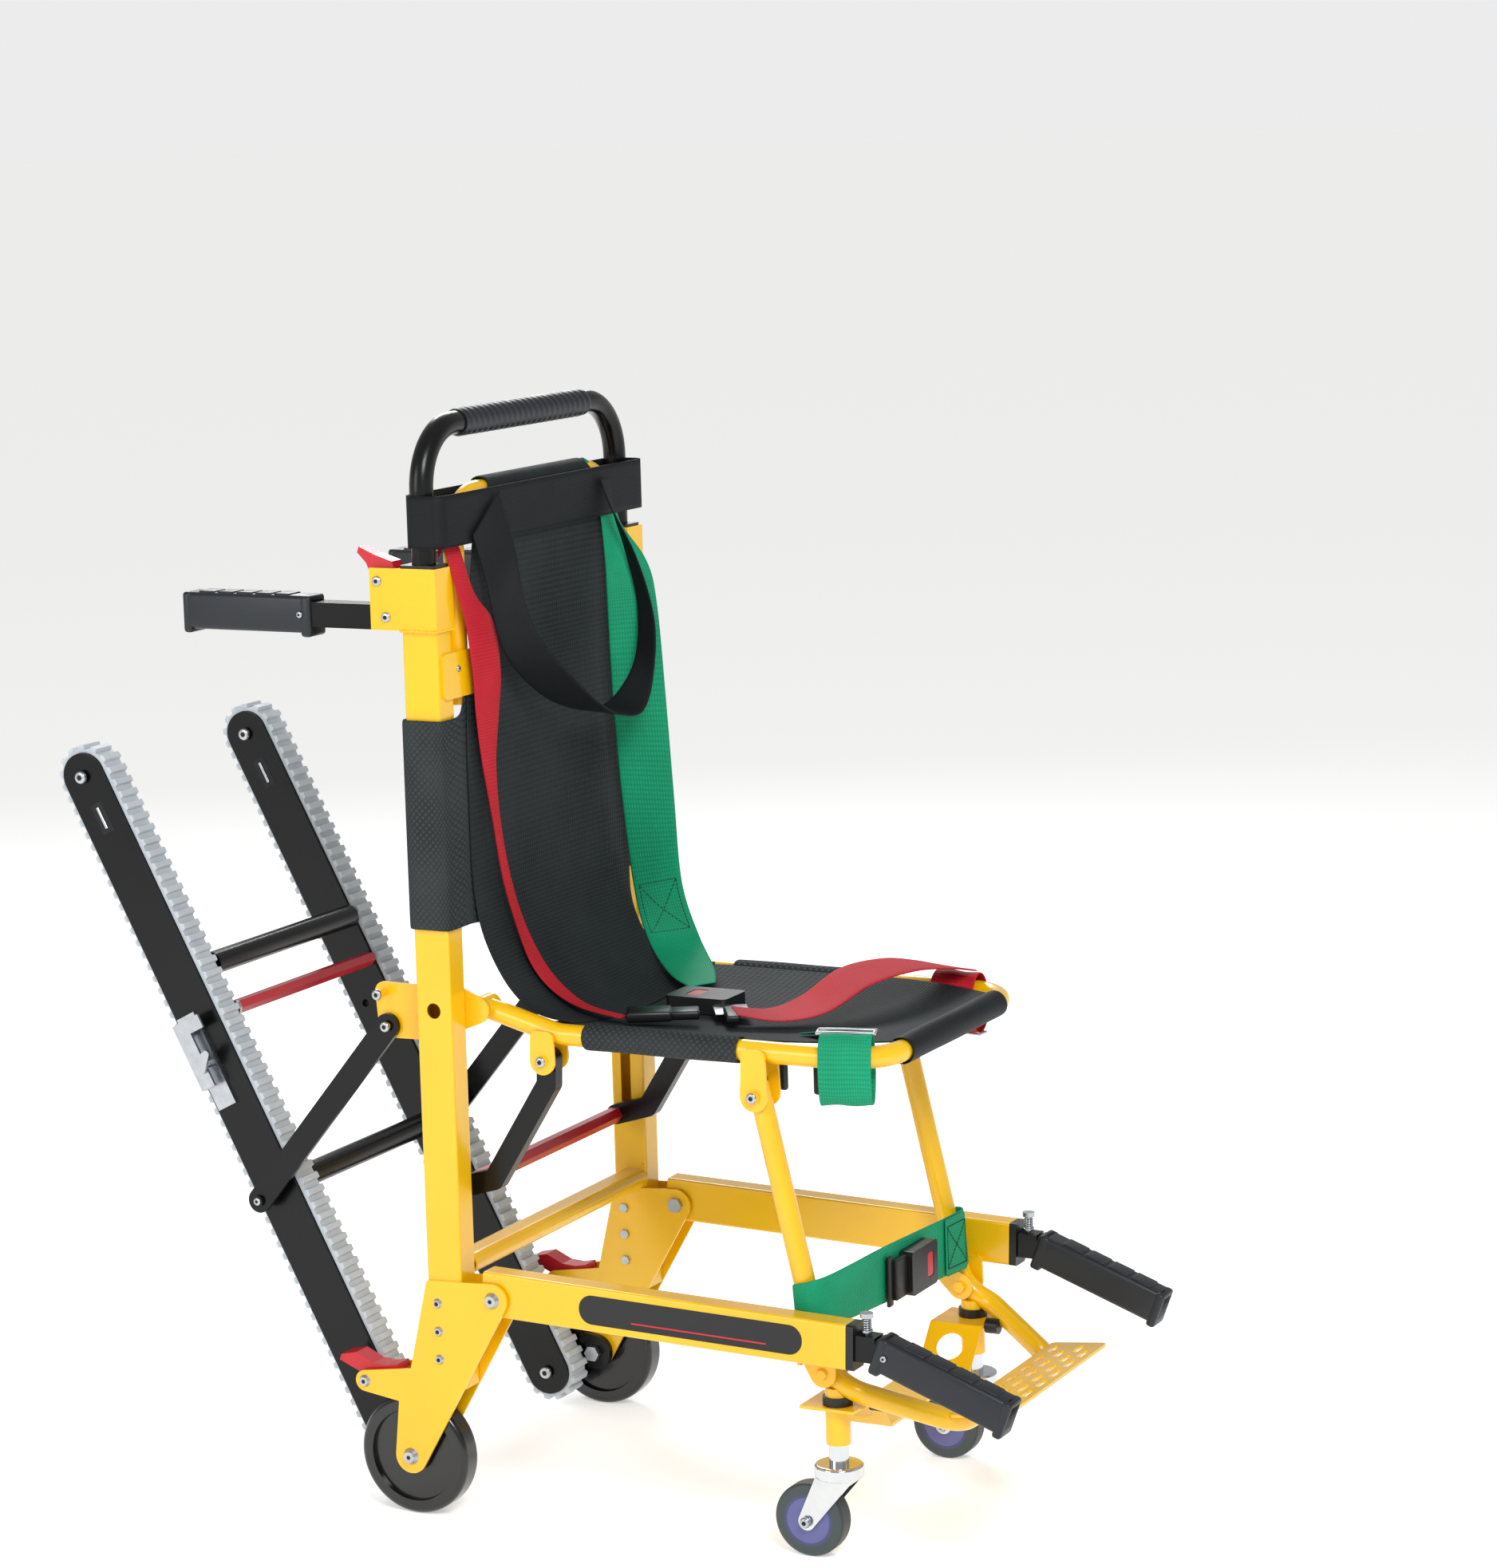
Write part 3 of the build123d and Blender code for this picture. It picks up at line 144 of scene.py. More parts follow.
# Black mouldings: nylon bushes, caps, plugs, buckles and pulleys, pressed or screwed on. Their fine
# spark-eroded texture leaves a dull, even gloss.
black_moulding = grained_finish("black_nylon_moulding", "08090A", "111315", 50, 0.9, 0.05, 0.38)
coat_nodes(black_moulding, "guide_bushes", "rail_caps", "leg_plugs", "ankle_buckle", "harness_buckle",
           "top_pulleys", "bottom_pulleys")

# Fasteners and the track catch: satin stainless steel. The casters' forks are bright chrome on steel.
stainless = grained_finish("satin_stainless_steel", "C9CCD0", "A9AEB4", 8, 0.5, 0.01, 0.3, 1.0)
coat_nodes(stainless, "frame_bolts", "lock_knob_left", "lock_knob_right", "track_latch", "latch_pawl")
chrome = grained_finish("chrome_plate", "E3E6E8", "C8CCD0", 30, 3, 0.02, 0.12, 1.0)
coat_nodes(chrome, "caster_fork_left", "caster_fork_right")

# Rear wheels: solid black mouldings with a dished face and two fine grooves in the tread. They are
# glossy, so they show clear highlights.
rear_wheel_moulding = grained_finish("black_wheel_moulding", "08090A", "121315", 60, 2, 0.04, 0.22,
                                     Coat_Weight=0.3)
coat_nodes(rear_wheel_moulding, "rear_wheel_left", "rear_wheel_right")

# Caster wheels: a dark grey elastic tyre moulded on a dusky blue hub, which shows as rings round the
# axle. Each turns on a steel axle in its fork.
for side in ("left", "right"):
    low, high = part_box(f"caster_wheel_{side}")
    middle = (low + high) / 2
    tyre, shader = new_finish(f"grey_elastic_tyre_{side}", 0.5)
    place = add_node(tyre, "ShaderNodeTexCoord").outputs["Object"]
    centred = add_node(tyre, "ShaderNodeMapping", {"Vector": place, "Location": -middle})
    flat = add_node(tyre, "ShaderNodeVectorMath", {0: centred.outputs[0], 1: (0.0, 1.0, 1.0)},
                    operation="MULTIPLY")
    radius = add_node(tyre, "ShaderNodeVectorMath", {0: flat.outputs[0]}, operation="LENGTH")
    rings = add_node(tyre, "ShaderNodeValToRGB", {0: radius.outputs["Value"]})
    span = add_node(tyre, "ShaderNodeMapRange", {0: radius.outputs["Value"], 2: 40 * mm})
    tyre.node_tree.links.new(span.outputs[0], rings.inputs[0])
    rings.color_ramp.interpolation = "CONSTANT"
    bands = rings.color_ramp.elements
    bands[0].color = hex_colour("7D8086")
    bands[1].position = 0.9
    bands[1].color = hex_colour("2E3638")
    for position, code in ((0.2, "5B5F92"), (0.58, "41456A"), (0.66, "3A4446")):
        band = bands.new(position)
        band.color = hex_colour(code)
    tyre.node_tree.links.new(rings.outputs[0], shader.inputs["Base Color"])
    coat_nodes(tyre, f"caster_wheel_{side}")

# Places on the chair are given as x from its middle, y from the rear axle and z from the floor, in mm.
wheel_low, wheel_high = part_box("rear_wheel_left")
axle_y = (wheel_low.y + wheel_high.y) / 2


def at(x, y, z):
    return Vector((x * mm, axle_y + y * mm, z * mm))


def piece_from(mesh, name, material, body, crease=35):
    """Ends a bmesh as a piece that rides on a body."""
    bmesh.ops.remove_doubles(mesh, verts=mesh.verts, dist=0.00001)
    bmesh.ops.recalc_face_normals(mesh, faces=mesh.faces)
    data = bpy.data.meshes.new(name)
    mesh.to_mesh(data)
    mesh.free()
    data.polygons.foreach_set("use_smooth", [True] * len(data.polygons))
    data.set_sharp_from_angle(angle=radians(crease))
    data.materials.append(material)
    piece = bpy.data.objects.new(name, data)
    bpy.context.scene.collection.objects.link(piece)
    if body:
        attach(piece, body)
    return piece


def rounded_block(mesh, centre, size, radius, turn=None, segments=3):
    """Adds a box with rounded edges; centre and size are in metres."""
    place = Matrix.Translation(centre) @ (turn or Matrix.Identity(4)) @ Matrix.Diagonal((*size, 1.0))
    block = bmesh.ops.create_cube(mesh, size=1.0, matrix=place)
    edges = list({edge for vert in block["verts"] for edge in vert.link_edges})
    bmesh.ops.bevel(mesh, geom=edges, offset=radius, segments=segments, profile=0.5, affect="EDGES",
                    material=-1)


def cylinder(mesh, centre, axis, length, radius, bevel=0.0, segments=32, end_radius=None):
    """Adds a round bar about a centre, along an axis."""
    turn = Vector((0, 0, 1)).rotation_difference(Vector(axis)).to_matrix().to_4x4()
    made = bmesh.ops.create_cone(mesh, cap_ends=True, segments=segments, radius1=radius,
                                 radius2=radius if end_radius is None else end_radius, depth=length,
                                 matrix=Matrix.Translation(centre) @ turn)
    if bevel:
        rims = list({e for v in made["verts"] for e in v.link_edges if len(e.link_faces) == 2
                     and any(len(f.verts) > 4 for f in e.link_faces)})
        bmesh.ops.bevel(mesh, geom=rims, offset=bevel, segments=2, profile=0.5, affect="EDGES", material=-1)


# Bolt sockets: the wheel plates' stainless button heads are frame parts already. Each has a deep socket,
# which is drawn as a thin dark hexagon disc on the head: painted shade for the socket's hollow.
# Painted shade: this near-black stands in for the shadow inside sockets and slots; the steel there is not
# black.
recess_shadow_paint, shader = new_finish("socket_shadow", 0.7)
shader.inputs["Base Color"].default_value = hex_colour("0A0A0B")
sockets = bmesh.new()
plate_x = 218
socket_depth = 0.5
socket_r = 2.4
heads = [(-39, 170, 3), (-39, 199.5, 3), (-39, 229, 3), (-103, 238.5, 4.5), (52, 137, 3.5), (0, 62.5, 5.5)]
for side in (-1, 1):
    for y, z, head in heads:
        cylinder(sockets, at(side * (plate_x + head - 0.1), y, z), (side, 0, 0), socket_depth * mm,
                 socket_r * mm, segments=6)
piece_from(sockets, "bolt_socket_shade", recess_shadow_paint, "back_frame")

# Button-head screws on the frame, seat, links and casters, and the nuts on the tracks' axles. They are
# turned stainless domes, each screwed down on its plate; its hexagon socket is a thin dark disc of painted
# shade.


def screw_heads(name, body, places, radius=5.2, rise=2.6):
    """Button-head screws at (centre, outward direction), each with a dark disc of painted shade for its
    socket.
    """
    domes = bmesh.new()
    holes = bmesh.new()
    for centre, outward in places:
        out = Vector(outward).normalized()
        cylinder(domes, centre + out * rise * mm / 2, out, rise * mm, radius * mm, 0.9 * mm,
                 end_radius=radius * 0.78 * mm)
        # The socket: a thin hexagon disc in the dark shadow material, painted shade where the real socket is
        # a hollow.
        cylinder(holes, centre + out * (rise + 0.05) * mm, out, 0.3 * mm, radius * 0.42 * mm, segments=6)
    piece_from(domes, name, stainless, body)
    piece_from(holes, f"{name}_sockets", recess_shadow_paint, body)


for side, sign in (("left", 1), ("right", -1)):
    out = (sign, 0, 0)
    screw_heads(f"collar_screws_{side}", "back_frame",
                [(at(sign * 217, -10, 931), out), (at(sign * 217, -1, 967), out)], 5.6)
    screw_heads(f"gusset_screws_{side}", "back_frame", [(at(sign * 180, -69, 877), (0, -1, 0))], 3.5, 1.8)
    screw_heads(f"hanger_screws_{side}", "back_frame",
                [(at(sign * 199, 30, 541), out), (at(sign * 194, 25, 507), out)], 6.0, 3.0)
    screw_heads(f"seat_ear_screws_{side}", "seat",
                [(at(sign * 185.5, -387, 465), out), (at(sign * 184.5, -150, 482), out)], 6.0, 2.4)
    inward = (-sign, 0, 0)
    screw_heads(f"track_axle_nuts_{side}", "track",
                [(at(sign * 176.5, 398.5, 743), out), (at(sign * 176.5, 40, 46), out),
                 (at(sign * 134, 398.5, 743), inward), (at(sign * 134, 40, 46), inward)], 7.5, 4.0)
    screw_heads(f"link_screws_{side}", "links", [(at(sign * 194.5, 190, 308), out)], 4.5, 2.0)
    screw_heads(f"caster_nuts_{side}", f"caster_swivel_{side}",
                [(at(sign * 183.5, -433, 37.5), out), (at(sign * 146.5, -433, 37.5), inward)], 6.0, 3.5)

# Weld beads: a row of overlapping ripples under each collar and along the cross tube's ends, in the
# same yellow coat.
beads = bmesh.new()
for side in (-1, 1):
    ring = [(x, -67.2) for x in range(184, 218, 3)] + [(217, y) for y in range(-66, -24, 3)]
    ripples = [(at(side * x, y, 917.5), (2.2 * mm, 2.2 * mm, 1.9 * mm, 1)) for x, y in ring]
    ripples += [(at(side * 184.6, -62, z), (1.8 * mm, 1.8 * mm, 2.2 * mm, 1)) for z in range(249, 280, 3)]
    for centre, size in ripples:
        ripple = Matrix.Translation(centre) @ Matrix.Diagonal(size)
        bmesh.ops.create_icosphere(beads, subdivisions=1, radius=1.0, matrix=ripple)
piece_from(beads, "weld_beads", yellow_powder_coat, "back_frame", 180)

# Track belts: pale grey moulded timing belts, each looped round two pulleys on its beam. Their square
# teeth lie across the belt, about 14 mm apart.
belt_rubber = grained_finish("pale_grey_belt_rubber", "C9D0D6", "AEB6BD", 30, 1.0, 0.05, 0.55)
top_low, top_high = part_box("top_pulleys")
bottom_low, bottom_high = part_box("bottom_pulleys")
belt_top = (top_low + top_high) / 2
belt_bottom = (bottom_low + bottom_high) / 2
belt_middle_x = 155 * mm
belt_width = 29 * mm
belt_back_r = 25.4 * mm
tooth_root_r = 29.0 * mm
tooth_tip_r = 33.0 * mm
up_track = (belt_top - belt_bottom).normalized()
out_track = Vector((0, up_track.z, -up_track.y))
run = (belt_top - belt_bottom).length
lap = 2 * run + 2 * pi * tooth_root_r
teeth = 125


def on_belt(distance):
    """A place on the teeth's root line and the way out of the belt there."""
    distance = distance % lap
    bend = pi * tooth_root_r
    if distance < run:
        return belt_bottom + up_track * distance + out_track * tooth_root_r, out_track
    if distance < run + bend:
        angle = (distance - run) / tooth_root_r
        out = out_track * cos(angle) + up_track * sin(angle)
        return belt_top + out * tooth_root_r, out
    if distance < 2 * run + bend:
        return belt_top - up_track * (distance - run - bend) - out_track * tooth_root_r, -out_track
    angle = (distance - 2 * run - bend) / tooth_root_r
    out = -out_track * cos(angle) - up_track * sin(angle)
    return belt_bottom + out * tooth_root_r, out


for side, sign in (("left", 1), ("right", -1)):
    belt = bmesh.new()
    for radius in (belt_back_r, tooth_root_r):
        ring = bmesh.ops.create_circle(belt, segments=64, radius=radius)["verts"]
        for vert in ring:
            out = out_track * vert.co.x + up_track * vert.co.y
            end = belt_top if vert.co.y > 0 else belt_bottom
            inner_x = sign * belt_middle_x - belt_width / 2
            vert.co = end + out - Vector((end.x, 0, 0)) + Vector((inner_x, 0, 0))
    bmesh.ops.bridge_loops(belt, edges=belt.edges[:])
    grown = bmesh.ops.extrude_face_region(belt, geom=belt.faces[:])["geom"]
    moved = [g for g in grown if isinstance(g, bmesh.types.BMVert)]
    bmesh.ops.translate(belt, vec=(belt_width, 0, 0), verts=moved)
    for tooth in range(teeth):
        root, out = on_belt(tooth * lap / teeth)
        along = Vector((1, 0, 0)).cross(out)
        turn = Matrix((Vector((1, 0, 0)), along, out)).transposed().to_4x4()
        depth = tooth_tip_r - tooth_root_r
        place = Vector((sign * belt_middle_x, root.y, root.z)) + out * depth / 2
        size = Matrix.Diagonal((belt_width, 8.5 * mm, depth, 1.0))
        cube = bmesh.ops.create_cube(belt, size=1.0, matrix=Matrix.Translation(place) @ turn @ size)["verts"]
        for vert in cube:
            if (vert.co - place).dot(out) > 0:
                vert.co -= along * (vert.co - place).dot(along) * 0.3
    belt_piece = piece_from(belt, f"toothed_belt_{side}", belt_rubber, "track", 30)
    if side == "left":
        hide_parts("track_belts")

# Belt tensioners: a slot near the top of each beam plate shows a steel screw in an opening, which is drawn
# as a thin dark panel of painted shade on the plate. The screw pulls the top axle up to tighten the belt.
tensioners = bmesh.new()
tension_screws = bmesh.new()
for sign in (-1, 1):
    for face in (173.6, 136.4):
        centre = belt_top - up_track * 48 * mm
        centre = Vector((sign * face * mm, centre.y, centre.z))
        turn = Matrix.Rotation(atan2(up_track.z, up_track.y), 4, "X")
        # Painted shade: a thin dark panel on the plate stands for the shadowed inside of the slot.
        rounded_block(tensioners, centre, (0.6 * mm, 34 * mm, 15 * mm), 0.25 * mm, turn, 1)
        cylinder(tension_screws, centre, up_track, 24 * mm, 1.8 * mm, segments=16)
piece_from(tensioners, "tensioner_slot_shade", recess_shadow_paint, "track")
piece_from(tension_screws, "tensioner_screws", stainless, "track")

# Carrying grips: soft black rubber sleeves pushed over square bars, with a lip at each end, a row of
# raised finger pads on top and a small screw near the inner end.
grip_rubber = grained_finish("soft_grip_rubber", "0D1218", "161D26", 40, 0.8, 0.06, 0.42)


def carrying_grip(name, node, body, start, end, width, height, pads):
    """A grip from its inner end to its outer end, all in mm."""
    first, last = at(*start), at(*end)
    ahead = (last - first).normalized()
    across = Vector((1, 0, 0))
    up = across.cross(ahead)
    if up.z < 0:
        up = -up
    length = (last - first).length
    turn = Matrix((across, ahead, up)).transposed().to_4x4()
    grip = bmesh.new()
    middle = (first + last) / 2
    rounded_block(grip, middle, (width * mm, length, height * mm), 5 * mm, turn, 4)
    for place, reach in ((first + ahead * 6 * mm, 12), (last - ahead * 5 * mm, 10)):
        drop = place - up * 2.0 * mm
        rounded_block(grip, drop, ((width + 1.2) * mm, reach * mm, (height + 4) * mm), 3.5 * mm, turn, 3)
    pitch = (length - 40 * mm) / pads
    for pad in range(pads):
        place = first + ahead * (24 * mm + (pad + 0.5) * pitch) + up * (height / 2 + 0.1) * mm
        rounded_block(grip, place, ((width - 8) * mm, pitch - 4 * mm, 2.6 * mm), 1.1 * mm, turn, 3)
    piece = piece_from(grip, name, grip_rubber, body, 40)
    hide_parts(node)
    sign = 1 if start[0] > 0 else -1
    screw_heads(f"{name}_screw", body,
                [(first + ahead * 12 * mm + across * sign * (width / 2 + 0.6) * mm, across * sign)], 3.6, 1.4)


for side, sign in (("left", 1), ("right", -1)):
    carrying_grip(f"rear_grip_sleeve_{side}", f"rear_grip_{side}", f"rear_handle_{side}",
                  (sign * 200, 81, 930), (sign * 200, 234, 930), 30, 38, 5)
    low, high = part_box(f"carry_grip_{side}")
    carrying_grip(f"front_grip_sleeve_{side}", f"carry_grip_{side}", f"front_handle_{side}",
                  (sign * 200, -526, 230.3), (sign * 200, -665, 178.3), 29, 35, 4)

# Top grip: a black rubber sleeve with slanting ribs, moulded on the hoop's top bar. Its ends are
# closed against the tube.
grip_low, grip_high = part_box("handle_grip")
grip_centre = (grip_low + grip_high) / 2
grip_half = (grip_high.x - grip_low.x) / 2
sleeve = bmesh.new()
ring = bmesh.ops.create_circle(sleeve, segments=40, radius=13.6 * mm)["verts"]
bmesh.ops.rotate(sleeve, verts=ring, matrix=Matrix.Rotation(pi / 2, 3, "Y"))
bmesh.ops.translate(sleeve, vec=(grip_low.x, grip_centre.y, grip_centre.z), verts=ring)
rings = 150
loop = sleeve.edges[:]
for step in range(rings):
    grown = bmesh.ops.extrude_edge_only(sleeve, edges=loop)["geom"]
    loop = [g for g in grown if isinstance(g, bmesh.types.BMEdge)]
    moved = [g for g in grown if isinstance(g, bmesh.types.BMVert)]
    bmesh.ops.translate(sleeve, vec=(2 * grip_half / rings, 0, 0), verts=moved)
for vert in sleeve.verts:
    spoke = Vector((0, vert.co.y - grip_centre.y, vert.co.z - grip_centre.z))
    angle = atan2(spoke.z, spoke.y)
    share = (vert.co.x - grip_centre.x) / mm
    rib = sin(2 * pi * share / 11.0 + 2.2 * sin(angle))
    edge = min(1.0, (grip_half - abs(vert.co.x - grip_centre.x)) / (3 * mm))
    vert.co += spoke.normalized() * (0.4 + 0.9 * max(-0.4, min(0.6, rib))) * mm * edge
bmesh.ops.holes_fill(sleeve, edges=[e for e in sleeve.edges if e.is_boundary])
top_sleeve = piece_from(sleeve, "top_grip_sleeve", grip_rubber, "top_handle", 60)
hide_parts("handle_grip")

# Lock springs: each lock knob stands on a coil spring of steel wire. The spring bears on a turned
# collar on the carrying bar.
for side, sign in (("left", 1), ("right", -1)):
    low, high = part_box(f"lock_knob_{side}")
    top = Vector(((low.x + high.x) / 2, (low.y + high.y) / 2, high.z))
    coil = bmesh.new()
    wire_place = Matrix.Translation((4.2 * mm, 0, 0)) @ Matrix.Rotation(pi / 2, 4, "X")
    wire = bmesh.ops.create_circle(coil, segments=8, radius=0.7 * mm, matrix=wire_place)
    bmesh.ops.spin(coil, geom=wire["verts"] + coil.edges[:], cent=(0, 0, 0), axis=(0, 0, 1),
                   dvec=(0, 0, 12 * mm / 80), angle=5 * 2 * pi, steps=80, use_merge=False)
    bmesh.ops.translate(coil, vec=top - Vector((0, 0, 17.5 * mm)), verts=coil.verts)
    piece_from(coil, f"lock_spring_{side}", stainless, f"front_handle_{side}")
    collar = bmesh.new()
    cylinder(collar, top - Vector((0, 0, 18.5 * mm)), (0, 0, 1), 3 * mm, 6.0 * mm, 0.6 * mm)
    piece_from(collar, f"lock_collar_{side}", stainless, f"front_handle_{side}")

# Side label: a long black vinyl pill stuck on the right rail, with a thin red line and no words. The
# vinyl is smoother than the coat under it.
vinyl, shader = new_finish("black_vinyl", 0.3)
shader.inputs["Base Color"].default_value = hex_colour("0C0D0F")
vinyl_red, shader = new_finish("red_vinyl", 0.3)
shader.inputs["Base Color"].default_value = hex_colour("C41E2A")
rail_tilt = atan2(11.0, 396.0)
label_middle = at(-213.25, -325, 236.8)
label = bmesh.new()
turn = Matrix.Rotation(rail_tilt, 4, "X")
bmesh.ops.create_cube(label, size=1.0, matrix=Matrix.Translation(label_middle) @ turn @ Matrix.Diagonal(
    (0.5 * mm, 248 * mm, 30 * mm, 1.0)))
corners = [e for e in label.edges if abs((e.verts[0].co - e.verts[1].co).x) > 0.3 * mm]
bmesh.ops.bevel(label, geom=corners, offset=14.5 * mm, segments=10, profile=0.5, affect="EDGES", material=-1)
piece_from(label, "rail_label", vinyl, "base")
line = bmesh.new()
rounded_block(line, label_middle + Vector((-0.35 * mm, -10 * mm, -8 * mm)), (0.2 * mm, 150 * mm, 1.6 * mm),
              0.08 * mm, turn, 1)
piece_from(line, "rail_label_line", vinyl_red, "base")

# Fabric back: one panel of open black mesh. It is sewn into a sleeve over the arch, runs down the front,
# wraps both uprights in wide wings and curves forward at the bottom onto the seat.


def woven_finish(name, light, dark, thread_mm, depth_mm, roughness=0.75, slant=0.0, contrast=0.5):
    """Cloth whose two sets of threads cross, drawn along the piece's own UV map, in metres."""
    material, shader = new_finish(name, roughness, Specular_IOR_Level=0.25)
    uv = add_node(material, "ShaderNodeUVMap", uv_map="cloth").outputs[0]
    turned = add_node(material, "ShaderNodeMapping", {"Vector": uv, "Rotation": (0, 0, radians(slant))})
    scale = pi / 10 / (thread_mm * mm)
    warp = add_node(material, "ShaderNodeTexWave", {"Vector": turned.outputs[0], "Scale": scale},
                    bands_direction="X")
    weft = add_node(material, "ShaderNodeTexWave", {"Vector": turned.outputs[0], "Scale": scale},
                    bands_direction="Y")
    cross = add_node(material, "ShaderNodeMath", {0: warp.outputs["Fac"], 1: weft.outputs["Fac"]},
                     operation="MULTIPLY")
    drift = add_node(material, "ShaderNodeTexNoise", {"Vector": uv, "Scale": 14.0, "Detail": 3.0})
    blend = add_node(material, "ShaderNodeMath", {0: cross.outputs[0], 1: contrast}, operation="MULTIPLY")
    mixed = add_node(material, "ShaderNodeMath", {0: blend.outputs[0], 1: drift.outputs[0]}, operation="ADD")
    colour = add_node(material, "ShaderNodeMix", {0: mixed.outputs[0], 6: hex_colour(dark),
                                                  7: hex_colour(light)}, data_type="RGBA")
    bump = add_node(material, "ShaderNodeBump", {"Height": cross.outputs[0], "Distance": depth_mm * mm})
    links = material.node_tree.links
    links.new(colour.outputs[2], shader.inputs["Base Color"])
    links.new(bump.outputs[0], shader.inputs["Normal"])
    return material


def curve_through(points):
    """A smooth curve through points: gives the place at a share of the way along."""
    def place(share):
        step = min(max(share, 0.0), 0.99999) * (len(points) - 1)
        i = int(step)
        t = step - i
        last = len(points) - 1
        a, b, c, d = (Vector(points[max(0, min(last, j))]) for j in range(i - 1, i + 3))
        return 0.5 * (2 * b + (c - a) * t + (2 * a - 5 * b + 4 * c - d) * t * t
                      + (3 * b - a - 3 * c + d) * t ** 3)
    return place


def cloth(name, place, columns, rows, flat_mm, thickness_mm, material, body, smooth=1):
    """A sheet shaped by place(across, along), both 0 to 1; its UV map is in metres of flat cloth."""
    mesh = bmesh.new()
    uv = mesh.loops.layers.uv.new("cloth")
    bmesh.ops.create_grid(mesh, x_segments=columns, y_segments=rows, size=0.5, calc_uvs=False)
    for face in mesh.faces:
        for corner in face.loops:
            across, along = corner.vert.co.x + 0.5, corner.vert.co.y + 0.5
            corner[uv].uv = (across * flat_mm[0] * mm, along * flat_mm[1] * mm)
    for vert in mesh.verts:
        vert.co = place(vert.co.x + 0.5, vert.co.y + 0.5)
    bmesh.ops.recalc_face_normals(mesh, faces=mesh.faces)
    data = bpy.data.meshes.new(name)
    mesh.to_mesh(data)
    mesh.free()
    data.polygons.foreach_set("use_smooth", [True] * len(data.polygons))
    data.materials.append(material)
    piece = bpy.data.objects.new(name, data)
    bpy.context.scene.collection.objects.link(piece)
    thick = piece.modifiers.new("thickness", "SOLIDIFY")
    thick.thickness = thickness_mm * mm
    thick.offset = 0.0
    if smooth:
        rounder = piece.modifiers.new("rounding", "SUBSURF")
        rounder.levels = smooth
        rounder.render_levels = smooth
    if body:
        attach(piece, body)
    return piece


back_mesh = woven_finish("fine_black_mesh", "262C2E", "030505", 4.2, 0.5, 0.7, 0, 0.9)
wing_mesh = woven_finish("coarse_black_mesh", "363C3E", "020303", 5.0, 0.9, 0.7, 45, 1.1)
back_line = curve_through([(0, -43, 1030), (0, -45, 1055), (0, -56, 1061), (0, -67, 1053), (0, -69, 1020),
                           (0, -68, 960), (0, -68, 900), (0, -68, 850), (0, -68, 790), (0, -68, 730),
                           (0, -68, 670), (0, -70, 620), (0, -78, 580), (0, -98, 544), (0, -130, 524),
                           (0, -174, 519)])
back_half = curve_through([(x, 0, 0) for x in (104, 104, 104, 106, 138, 150, 153, 164, 168, 168, 167, 161,
                                               152, 148, 153, 159)])


def back_place(across, along):
    middle = back_line(along)
    half = back_half(along).x
    side = 2 * across - 1
    belly = 6 * (1 - side * side) * sin(pi * min(1, max(0, (along - 0.2) / 0.75)))
    dip = 15 * (1 - side * side) * max(0.0, min(1.0, (along - 0.84) / 0.14))
    return at(half * side, middle.y + belly, middle.z - dip)


back_panel = cloth("back_panel", back_place, 36, 110, (310, 640), 2.0, back_mesh, None)
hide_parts("back_sling")
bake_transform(back_panel)

# Wings of the fabric back: the same cloth doubled, in a coarser mesh, wrapped right round each upright.
for side, sign in (("left", 1), ("right", -1)):
    wrap = curve_through([(146, -64.6, 0), (166, -65.6, 0), (182, -69.2, 0), (208, -69.6, 0),
                          (216.6, -67.6, 0), (218.2, -60, 0), (218.2, -46, 0), (218.2, -32, 0),
                          (216.6, -24.6, 0), (208, -22.8, 0), (195, -22.8, 0), (184, -22.8, 0)])

    def wing_place(across, along, wrap=wrap, sign=sign):
        ring = wrap(across)
        flare = max(0.0, 1 - across * 4.6) ** 1.7
        top = 829 + 44 * flare
        low = 616 - 4 * flare
        return at(sign * ring.x, ring.y, top + (low - top) * along)

    wing = cloth(f"back_wing_{side}", wing_place, 44, 24, (160, 215), 2.2, wing_mesh, "back_frame",
                 1)

# Fabric seat: black mesh between the seat tubes, sewn into mesh sleeves at the sides and a smooth webbing
# sleeve on the front bar. It sags a little between the tubes.
seat_mesh = woven_finish("ribbed_black_mesh", "2E3537", "030404", 5.0, 0.8, 0.7, 0, 1.0)
seat_line = curve_through([(0, -128, 0), (0, -196, 0), (0, -280, 0), (0, -365, 0), (0, -410, 0),
                           (0, -460, 0), (0, -513, 0)])
seat_half = curve_through([(x, 0, 0) for x in (146, 159, 160, 159, 154, 141, 117)])


def seat_place(across, along):
    half = seat_half(along).x
    side = 2 * across - 1
    sag = 15 * (1 - side * side) * (1 - 0.75 * along ** 4)
    edge = 517 - 4 * (1 - min(1, along / 0.1))
    return at(half * side, seat_line(along).y, edge - sag)


seat_panel = cloth("seat_panel", seat_place, 36, 44, (320, 370), 2.0, seat_mesh, "seat")
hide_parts("seat_sling")


def tube_sleeve(name, start, end, radius_mm, material, body, tall=1.0, drop=0.0):
    """A cloth sleeve round a straight tube, from start to end in mm."""
    first, last = at(*start), at(*end)
    ahead = (last - first).normalized()
    side = ahead.cross(Vector((0, 0, 1))).normalized()

    def sleeve_place(across, along):
        angle = 2 * pi * across - pi / 2
        spoke = side * cos(angle) + Vector((0, 0, 1)) * sin(angle) * tall
        pucker = 1 + 0.02 * sin(9 * along + 3 * angle)
        return first.lerp(last, along) + spoke * radius_mm * pucker * mm - Vector((0, 0, drop * mm))

    length = (last - first).length / mm
    return cloth(name, sleeve_place, 28, 24, (2 * pi * radius_mm, length), 1.6, material, body)


